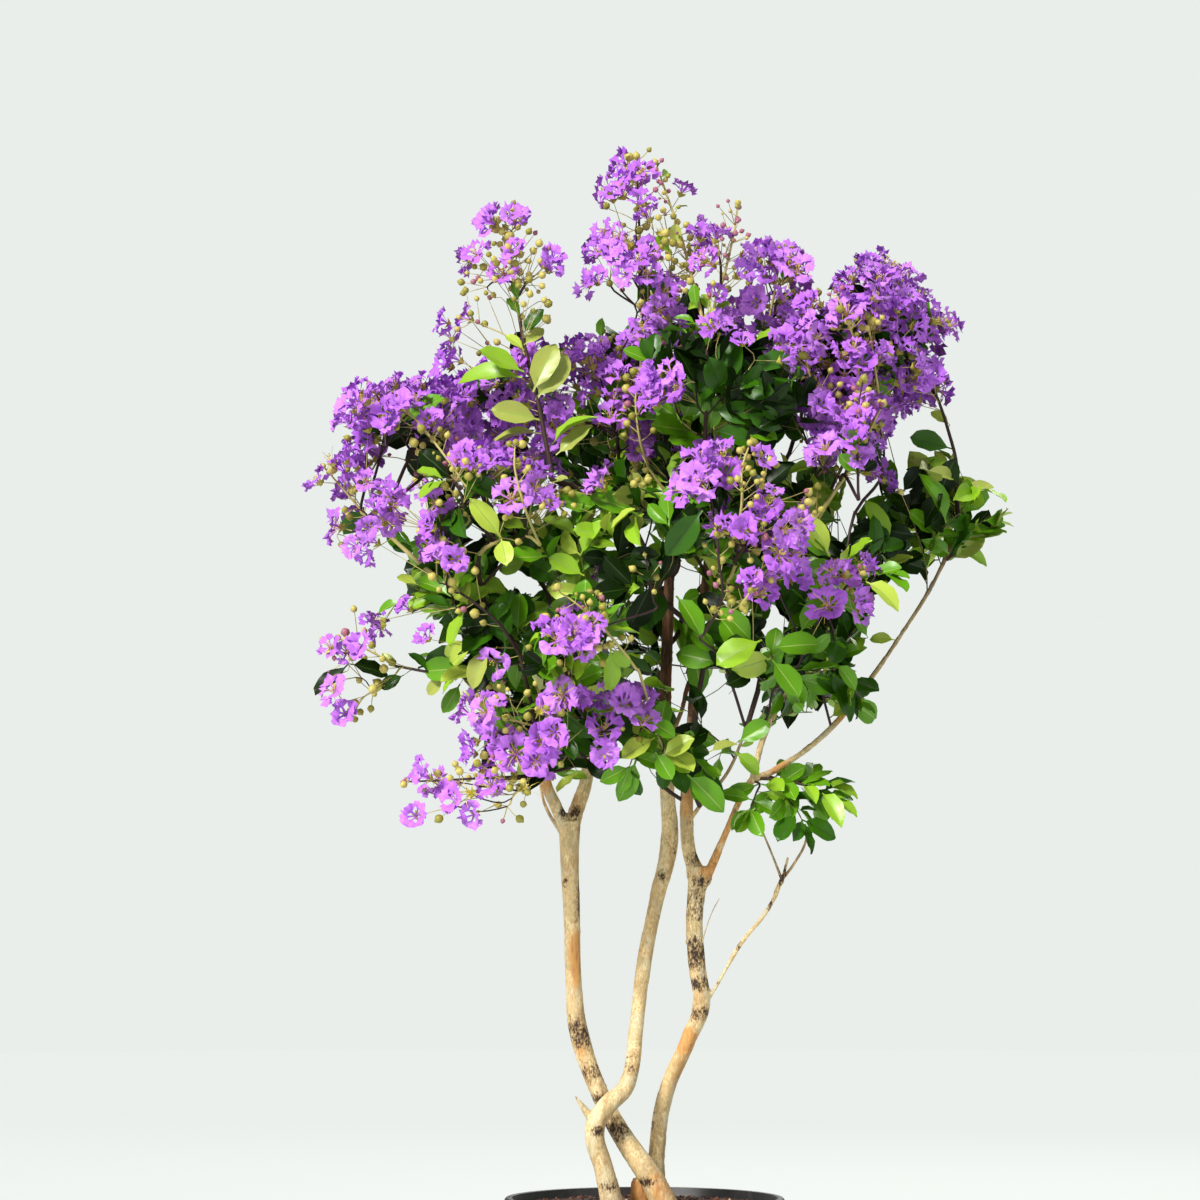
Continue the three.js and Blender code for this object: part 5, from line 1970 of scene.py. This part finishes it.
bases, forwards, upwards, lengths, sprays = (np.array(column) for column in zip(*leaves))
forwards = unit(forwards)
ends = np.array([kinds[runs[spray][0][-1]] for spray in sprays])
is_set = np.isin(ends, ["spot", "shoot_spot"])
lengths = np.where(is_set, lengths, np.clip(lengths, *LEAF_LIMITS))
middles = bases + forwards * lengths[:, None] * 0.5
tips = bases + forwards * lengths[:, None] * 0.95
blocked = in_sky_hole(middles, MIDDLE_SKY_MARGIN) | in_sky_hole(tips, TIP_SKY_MARGIN)
is_plain = ~np.isin(ends, ["bract", "branchlet", "inner"])
stray = is_plain & np.array([depth_in(crown_hull, tip) < -LEAF_STRAY for tip in tips])
is_shallow = np.array([depth_in(crown_hull, place) < FRONT_DEPTH for place in middles])
is_front = (middles[:, 1] < 0) & is_shallow
hides = is_plain & is_front & in_view_ovals(middles, FLOWER_CLUSTERS, CLUSTER_MARGIN)
hides = hides | is_plain & in_view_ovals(middles, LEAF_GAPS)
keep = is_set | ~blocked & ~stray & ~hides
bases, forwards, upwards = bases[keep], forwards[keep], upwards[keep]
lengths, sprays, ends = lengths[keep], sprays[keep], ends[keep]
print("over a sky hole:", int(blocked.sum()), "astray:", int(stray.sum()), "kept:", len(bases))

# %% Leaf colours
MIDDLE_FROM = 16 * MM
INNER_FROM = 30 * MM
OWN_LUCK = 0.3
# The share of each leaf finish in each layer of the crown: darker shares deeper in are painted
# shade, and the lit shares are painted light.
LAYER_SHARES = {
    "outer": [0.13, 0.30, 0.35, 0.16, 0.04, 0.02],
    "middle": [0.03, 0.12, 0.27, 0.33, 0.24, 0.01],
    "inner": [0.0, 0.02, 0.10, 0.33, 0.55, 0.0],
    "shoot": [0.05, 0.15, 0.30, 0.14, 0.0, 0.36],
    "lit": [0.30, 0.30, 0.14, 0.02, 0.0, 0.24],
    "branchlet": [0.0, 0.20, 0.50, 0.30, 0.0, 0.0],
}
LAYER_NUMBERS = {name: number for number, name in enumerate(LAYER_SHARES)}

spray_luck = chance.random(len(runs))[sprays]
luck = np.where(chance.random(len(bases)) < OWN_LUCK, chance.random(len(bases)), spray_luck)
hull_depths = np.array([max(depth_in(hull, base) for hull in hulls.values()) for base in bases])
dealt = np.stack([
    np.searchsorted(np.cumsum(shares)[:-1], luck) for shares in LAYER_SHARES.values()
])
# Deep and shaded leaves get darker shares, as painted shade; lit places get pale ones, as painted
# light.
layer = (hull_depths > MIDDLE_FROM).astype(int) + (hull_depths > INNER_FROM)
layer = np.minimum(layer + in_view_ovals(bases, SHADED_PLACES), LAYER_NUMBERS["inner"])
for name, is_there in (
    ("inner", ends == "inner"), ("shoot", np.isin(ends, ["bract", "shoot_spot"])),
    ("lit", in_view_ovals(bases, LIT_PLACES)), ("branchlet", ends == "branchlet"),
):
    layer = np.where(is_there, LAYER_NUMBERS[name], layer)
tones = dealt[layer, np.arange(len(bases))]
print("leaves of each layer:", dict(zip(LAYER_SHARES, np.bincount(layer).tolist())))

# %% Build the leaves
SET_LEAF_WIDTH = 1.15
SHOOT_LEAF_WIDTH = 0.95
# Deep and dark leaves, partly painted shade, have dark ribs to match.
DARK_LEAF_TONES = (3, 4)

variants = chance.integers(0, len(leaf_shapes), len(bases))
turns = axes_for(forwards, upwards)
turns[:, :, 0] *= np.where(ends == "spot", SET_LEAF_WIDTH, 1)[:, None]
turns[:, :, 0] *= np.where(ends == "shoot_spot", SHOOT_LEAF_WIDTH, 1)[:, None]
on_left = bases[:, 0] < CROWN_AXIS[0]
for name, half in (("leaves_left_half", on_left), ("leaves_right_half", ~on_left)):
    parts = []
    for variant, shape in enumerate(leaf_shapes):
        chosen = half & (variants == variant)
        part = copies(shape, bases[chosen], turns[chosen], lengths[chosen], tones[chosen])
        has_dark_tone = np.repeat(np.isin(tones[chosen], DARK_LEAF_TONES), len(shape.triangles))
        part.finishes[has_dark_tone & (part.finishes == RIB_SLOT)] += 1
        parts.append(part)
    piece = build(name, together(*parts), leaf_finishes + rib_finishes)
    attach(piece, "root")
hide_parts(*leaf_masses)
print("leaves kept:", len(bases))

# %% [markdown]
# ## One flower
#
# Each flower has six petals. A petal is a crinkled, ragged fan on a thin claw, so the flower looks
# like torn crepe paper. One petal is bent from a small grid: its first row is the claw, and its
# other rows open like a fan, with every other column pushed up or down and the edge torn. Under
# the petals sits a six-pointed calyx. Eight flowers with different crinkles are dealt out. Three of
# them are wide open round a tuft of yellow stamens, and the others hold their petals up and hide
# it. Two more have dropped their petals and show only the calyx with its stamens.

# %% Petals
PETAL_COLUMNS = 7
CLAW_END = 7.6
CLAW_RISE = 3.0
FAN_ROWS = ((2.3, 1.4), (5.8, 2.2), (9.0, 0.8))
FAN_SPREAD = math.radians(66)
CRINKLE = 1.6
RAGGED = 1.8
SECOND_TONES = 0.35
CALYX_SLOT = len(petal_finishes)
STAMEN_SLOT = CALYX_SLOT + 1


def petal_shape(chance):
    """A petal in millimetres on a grid, pointing along Y from the middle of the flower."""
    clear_selection()
    bpy.ops.mesh.primitive_grid_add(x_subdivisions=PETAL_COLUMNS, y_subdivisions=3, size=1)
    petal = bpy.context.object
    shift = chance.integers(0, 2)
    tone = int(chance.random() < SECOND_TONES)
    for point in petal.data.vertices:
        column = round((point.co.x + 0.5) * PETAL_COLUMNS)
        row = round((point.co.y + 0.5) * 3)
        across = 2 * column / PETAL_COLUMNS - 1
        zigzag = (-1) ** (column + shift)
        if row == 0:
            point.co = (across * 0.35, 0, 0)
            continue
        radius, rise = FAN_ROWS[row - 1]
        loose = (row - 1) / 2
        radius += loose * (RAGGED * (0.45 * zigzag + chance.normal(0, 0.6)))
        angle = across * FAN_SPREAD + loose * chance.normal(0, 0.1)
        waist = 0.55 if row == 1 else 1.0
        point.co = (
            radius * math.sin(angle) * waist,
            CLAW_END + radius * math.cos(angle),
            CLAW_RISE + rise + CRINKLE * loose * (0.8 * zigzag + chance.normal(0, 0.65)),
        )
    for face in petal.data.polygons:
        face.material_index = tone
    return shape_of(petal)


def turned_about_z(shape, angle, tilt=0.0):
    """A copy of a shape, tipped up by tilt and then turned round the flower's axis."""
    cos_tilt, sin_tilt = math.cos(tilt), math.sin(tilt)
    tip = np.array([[1, 0, 0], [0, cos_tilt, -sin_tilt], [0, sin_tilt, cos_tilt]])
    cos_turn, sin_turn = math.cos(angle), math.sin(angle)
    turn = np.array([[cos_turn, -sin_turn, 0], [sin_turn, cos_turn, 0], [0, 0, 1]])
    return Shape(shape.points @ (turn @ tip).T, shape.triangles, shape.finishes)


chance = np.random.default_rng(44)
print("flower finishes:", STAMEN_SLOT + 1)

# %% Calyx
def calyx_shape():
    """The green cup under the petals, with six points, in millimetres."""
    clear_selection()
    bpy.ops.mesh.primitive_cone_add(
        vertices=12, radius1=0.9, radius2=3.4, depth=4.4, end_fill_type="NOTHING",
        location=(0, 0, -1.4),
    )
    calyx = bpy.context.object
    bpy.ops.object.transform_apply(location=True)
    for point in calyx.data.vertices:
        if point.co.z > 0:
            angle = math.atan2(point.co.y, point.co.x)
            is_tooth = round(angle / (math.pi / 6)) % 2 == 0
            point.co *= 1.75 if is_tooth else 0.9
            point.co.z = 1.4 if is_tooth else 0.2
    for face in calyx.data.polygons:
        face.material_index = CALYX_SLOT
    return shape_of(calyx)


calyx = calyx_shape()
print("calyx:", len(calyx.triangles), "triangles")

# %% Stamens
UP = np.array((0, 0, 1.0))
ANTHER = 1.1 * np.array([(0, 0, 1), (0.8, 0, -0.5), (-0.4, 0.7, -0.5), (-0.4, -0.7, -0.5)])


def ribbon(stops, width, finish):
    """A thin ribbon along some stops, tapering to its end."""
    stops = np.array(stops, float)
    way = unit(np.gradient(stops, axis=0))
    side = unit(np.cross(way, (0.3, 0.2, 1.0)))
    half = np.linspace(width, width * 0.5, len(stops))[:, None] / 2
    points = np.concatenate([stops - side * half, stops + side * half])
    count = len(stops)
    triangles = []
    for index in range(count - 1):
        triangles.append((index, index + 1, count + index + 1))
        triangles.append((index, count + index + 1, count + index))
    return Shape(points, triangles, np.full(len(triangles), finish))


def stamens_shape(chance):
    """A tuft of short yellow stamens with their anthers, and some long curled ones."""
    parts = []
    anther_faces = [(0, 1, 2), (0, 2, 3), (0, 3, 1), (1, 3, 2)]
    for index in range(7):
        angle = index * 2 * math.pi / 7 + chance.normal(0, 0.2)
        way = np.array((math.cos(angle), math.sin(angle), 0))
        top = way * chance.uniform(0.8, 3.2) + UP * chance.uniform(6, 8.5)
        parts.append(ribbon([way * 0.4, top], 0.5, STAMEN_SLOT))
        parts.append(Shape(ANTHER + top, anther_faces, [STAMEN_SLOT] * len(anther_faces)))
    for index in range(5):
        angle = index * 2 * math.pi / 5 + chance.normal(0, 0.3)
        way = np.array((math.cos(angle), math.sin(angle), 0))
        stops = [way * 1.5, way * 6 + UP * 6, way * 11 + UP * 8, way * 15 + UP * 5.5]
        parts.append(ribbon(stops, 0.55, STAMEN_SLOT))
    return together(*parts)


print("anther:", len(ANTHER), "points")

# %% Whole flowers
def flower_shape(chance, petal_count, has_stamens):
    parts = [calyx]
    for index in range(petal_count):
        angle = index * math.pi / 3 + chance.normal(0, 0.14)
        tilt = chance.normal(0.1 if has_stamens else 0.5, 0.28)
        parts.append(turned_about_z(petal_shape(chance), angle, tilt))
    if has_stamens:
        parts.append(stamens_shape(chance))
    flower = together(*parts)
    flower.points = flower.points * MM
    return flower


flower_shapes = [flower_shape(chance, 6, index % 3 == 0) for index in range(8)]
flower_shapes += [flower_shape(chance, 0, True), flower_shape(chance, 0, True)]
print("flower:", [len(shape.triangles) for shape in flower_shapes], "triangles")

# %% [markdown]
# ## Flowers on the stalks
#
# A flower sits at the end of its stalk and faces out of the flower head, a little upwards. Its tone
# is dealt out by flower, from pale to deep violet, because petals fade as they age. Flowers deep
# inside a head get the darker tones more often, as painted shade.

# %% Stalk ends
def at_tips(kind):
    """The places at the tips of one kind, and the way each stalk points there."""
    found = np.flatnonzero((kinds == kind) & alive)
    return places[found], unit(places[found] - places[parents[found]])


def spun(ways, chance):
    """A turn for each way, with Z along it and any spin round it."""
    across = unit(np.cross(ways, chance.normal(size=ways.shape)))
    return np.stack([across, np.cross(ways, across), ways], axis=-1)


print("stalk ends with flowers:", len(at_tips("flower")[0]), "with buds:", len(at_tips("bud")[0]))

# %% Place the flowers
DEEP_FLOWERS_FROM = 13 * MM
# Every flower shape is a full one except the last two.
FULL_SHARE, BARE_SHARE = 0.116, 0.036
UPPER_FROM = 930 * MM

flower_places, flower_ways = at_tips("flower")
outward = np.array([to_the_open(place) for place in flower_places])
facing = unit(0.45 * flower_ways + 0.8 * outward + chance.normal(0, 0.36, flower_places.shape))
keep = ~in_sky_hole(flower_places, SKY_MARGIN)
flower_places, facing = flower_places[keep], facing[keep]
flower_sizes = chance.normal(0.95, 0.12, len(flower_places)).clip(0.7, 1.2)
flower_depths = np.array([
    max(depth_in(hulls[name], place) for name in bloom_masses) for place in flower_places
])
is_deep = flower_depths > DEEP_FLOWERS_FROM
# Flowers deep in a head are dealt darker tones more often, as painted shade; the rest at random, as
# they fade.
outer_tones = chance.choice(3, len(flower_places), p=[0.36, 0.42, 0.22])
shaded_flower_tones = chance.choice(3, len(flower_places), p=[0.1, 0.4, 0.5])
flower_tones = np.where(is_deep, shaded_flower_tones, outer_tones)
shares = [FULL_SHARE] * 8 + [BARE_SHARE] * 2
variants = chance.choice(len(flower_shapes), len(flower_places), p=shares)
turns = spun(facing, chance)
is_lower = flower_places[:, 2] < UPPER_FROM
print("flowers:", len(flower_places), "deep ones:", int(is_deep.sum()))

# %% Build the flowers
for name, half in (("flowers_lower", is_lower), ("flowers_upper", ~is_lower)):
    parts = []
    for variant, shape in enumerate(flower_shapes):
        chosen = half & (variants == variant)
        sizes, tones = flower_sizes[chosen], flower_tones[chosen]
        parts.append(copies(shape, flower_places[chosen], turns[chosen], sizes, tones))
    piece = build(name, together(*parts), petal_finishes + [calyx_finish, stamen_finish])
    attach(piece, "root")
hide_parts(*bloom_masses)

# %% [markdown]
# ## Buds and young fruit
#
# Between the flowers sit round yellow-green buds and young seed capsules with a slight point, up to
# nine millimetres across. Many of the small ones are flushed with pink. One ball is drawn out to a
# point at its top and narrowed to the stalk.

# %% One bud
BUD_POINT = 1.32


def bud_shape():
    clear_selection()
    bpy.ops.mesh.primitive_uv_sphere_add(segments=7, ring_count=6, radius=1)
    bud = bpy.context.object
    for point in bud.data.vertices:
        height = point.co.z
        ridge = 1 + 0.05 * math.cos(6 * math.atan2(point.co.y, point.co.x))
        slim = ridge * (1 - 0.12 * abs(height)) * (0.8 if height < -0.6 else 1)
        point.co.x *= slim
        point.co.y *= slim
        if height > 0.9:
            point.co.z = BUD_POINT
    return shape_of(bud)


bud = bud_shape()
print("bud:", len(bud.triangles), "triangles")

# %% Buds on the stalks
# x, z, half width and half height of the places with many pink buds, in millimetres.
PINK_PLACES = [(76, 1096, 22, 34), (22, 1138, 20, 26)]
PINK_SIZE = 0.72
SMALL_BUDS = 2.9 * MM
RIPE_BUDS = 0.35
PINK_TONE = 2

bud_places, bud_ways = at_tips("bud")
is_pink_place = in_ovals(bud_places, PINK_PLACES)
bud_radii = chance.normal(3.1, 0.7, len(bud_places)).clip(1.7, 4.7) * MM
bud_radii = np.where(is_pink_place, PINK_SIZE * bud_radii, bud_radii)
bud_tones = (chance.random(len(bud_places)) < RIPE_BUDS).astype(int)
pink_chance = np.where(is_pink_place, 0.5, np.where(bud_radii < SMALL_BUDS, 0.4, 0.02))
bud_tones = np.where(chance.random(len(bud_places)) < pink_chance, PINK_TONE, bud_tones)
bud_turns = spun(bud_ways, chance)
buds = build("buds", copies(bud, bud_places, bud_turns, bud_radii, bud_tones), bud_finishes)
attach(buds, "root")
print("buds:", len(bud_places))

# %% [markdown]
# ## Face count
#
# The faces of all the pieces made here are counted.

# %% Sizes and finish
total = sum(
    len(thing.data.loop_triangles) if thing.data.loop_triangles else len(thing.data.polygons)
    for thing in bpy.data.objects
    if thing.type == "MESH" and "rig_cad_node" not in thing
)
print("faces in all:", total)
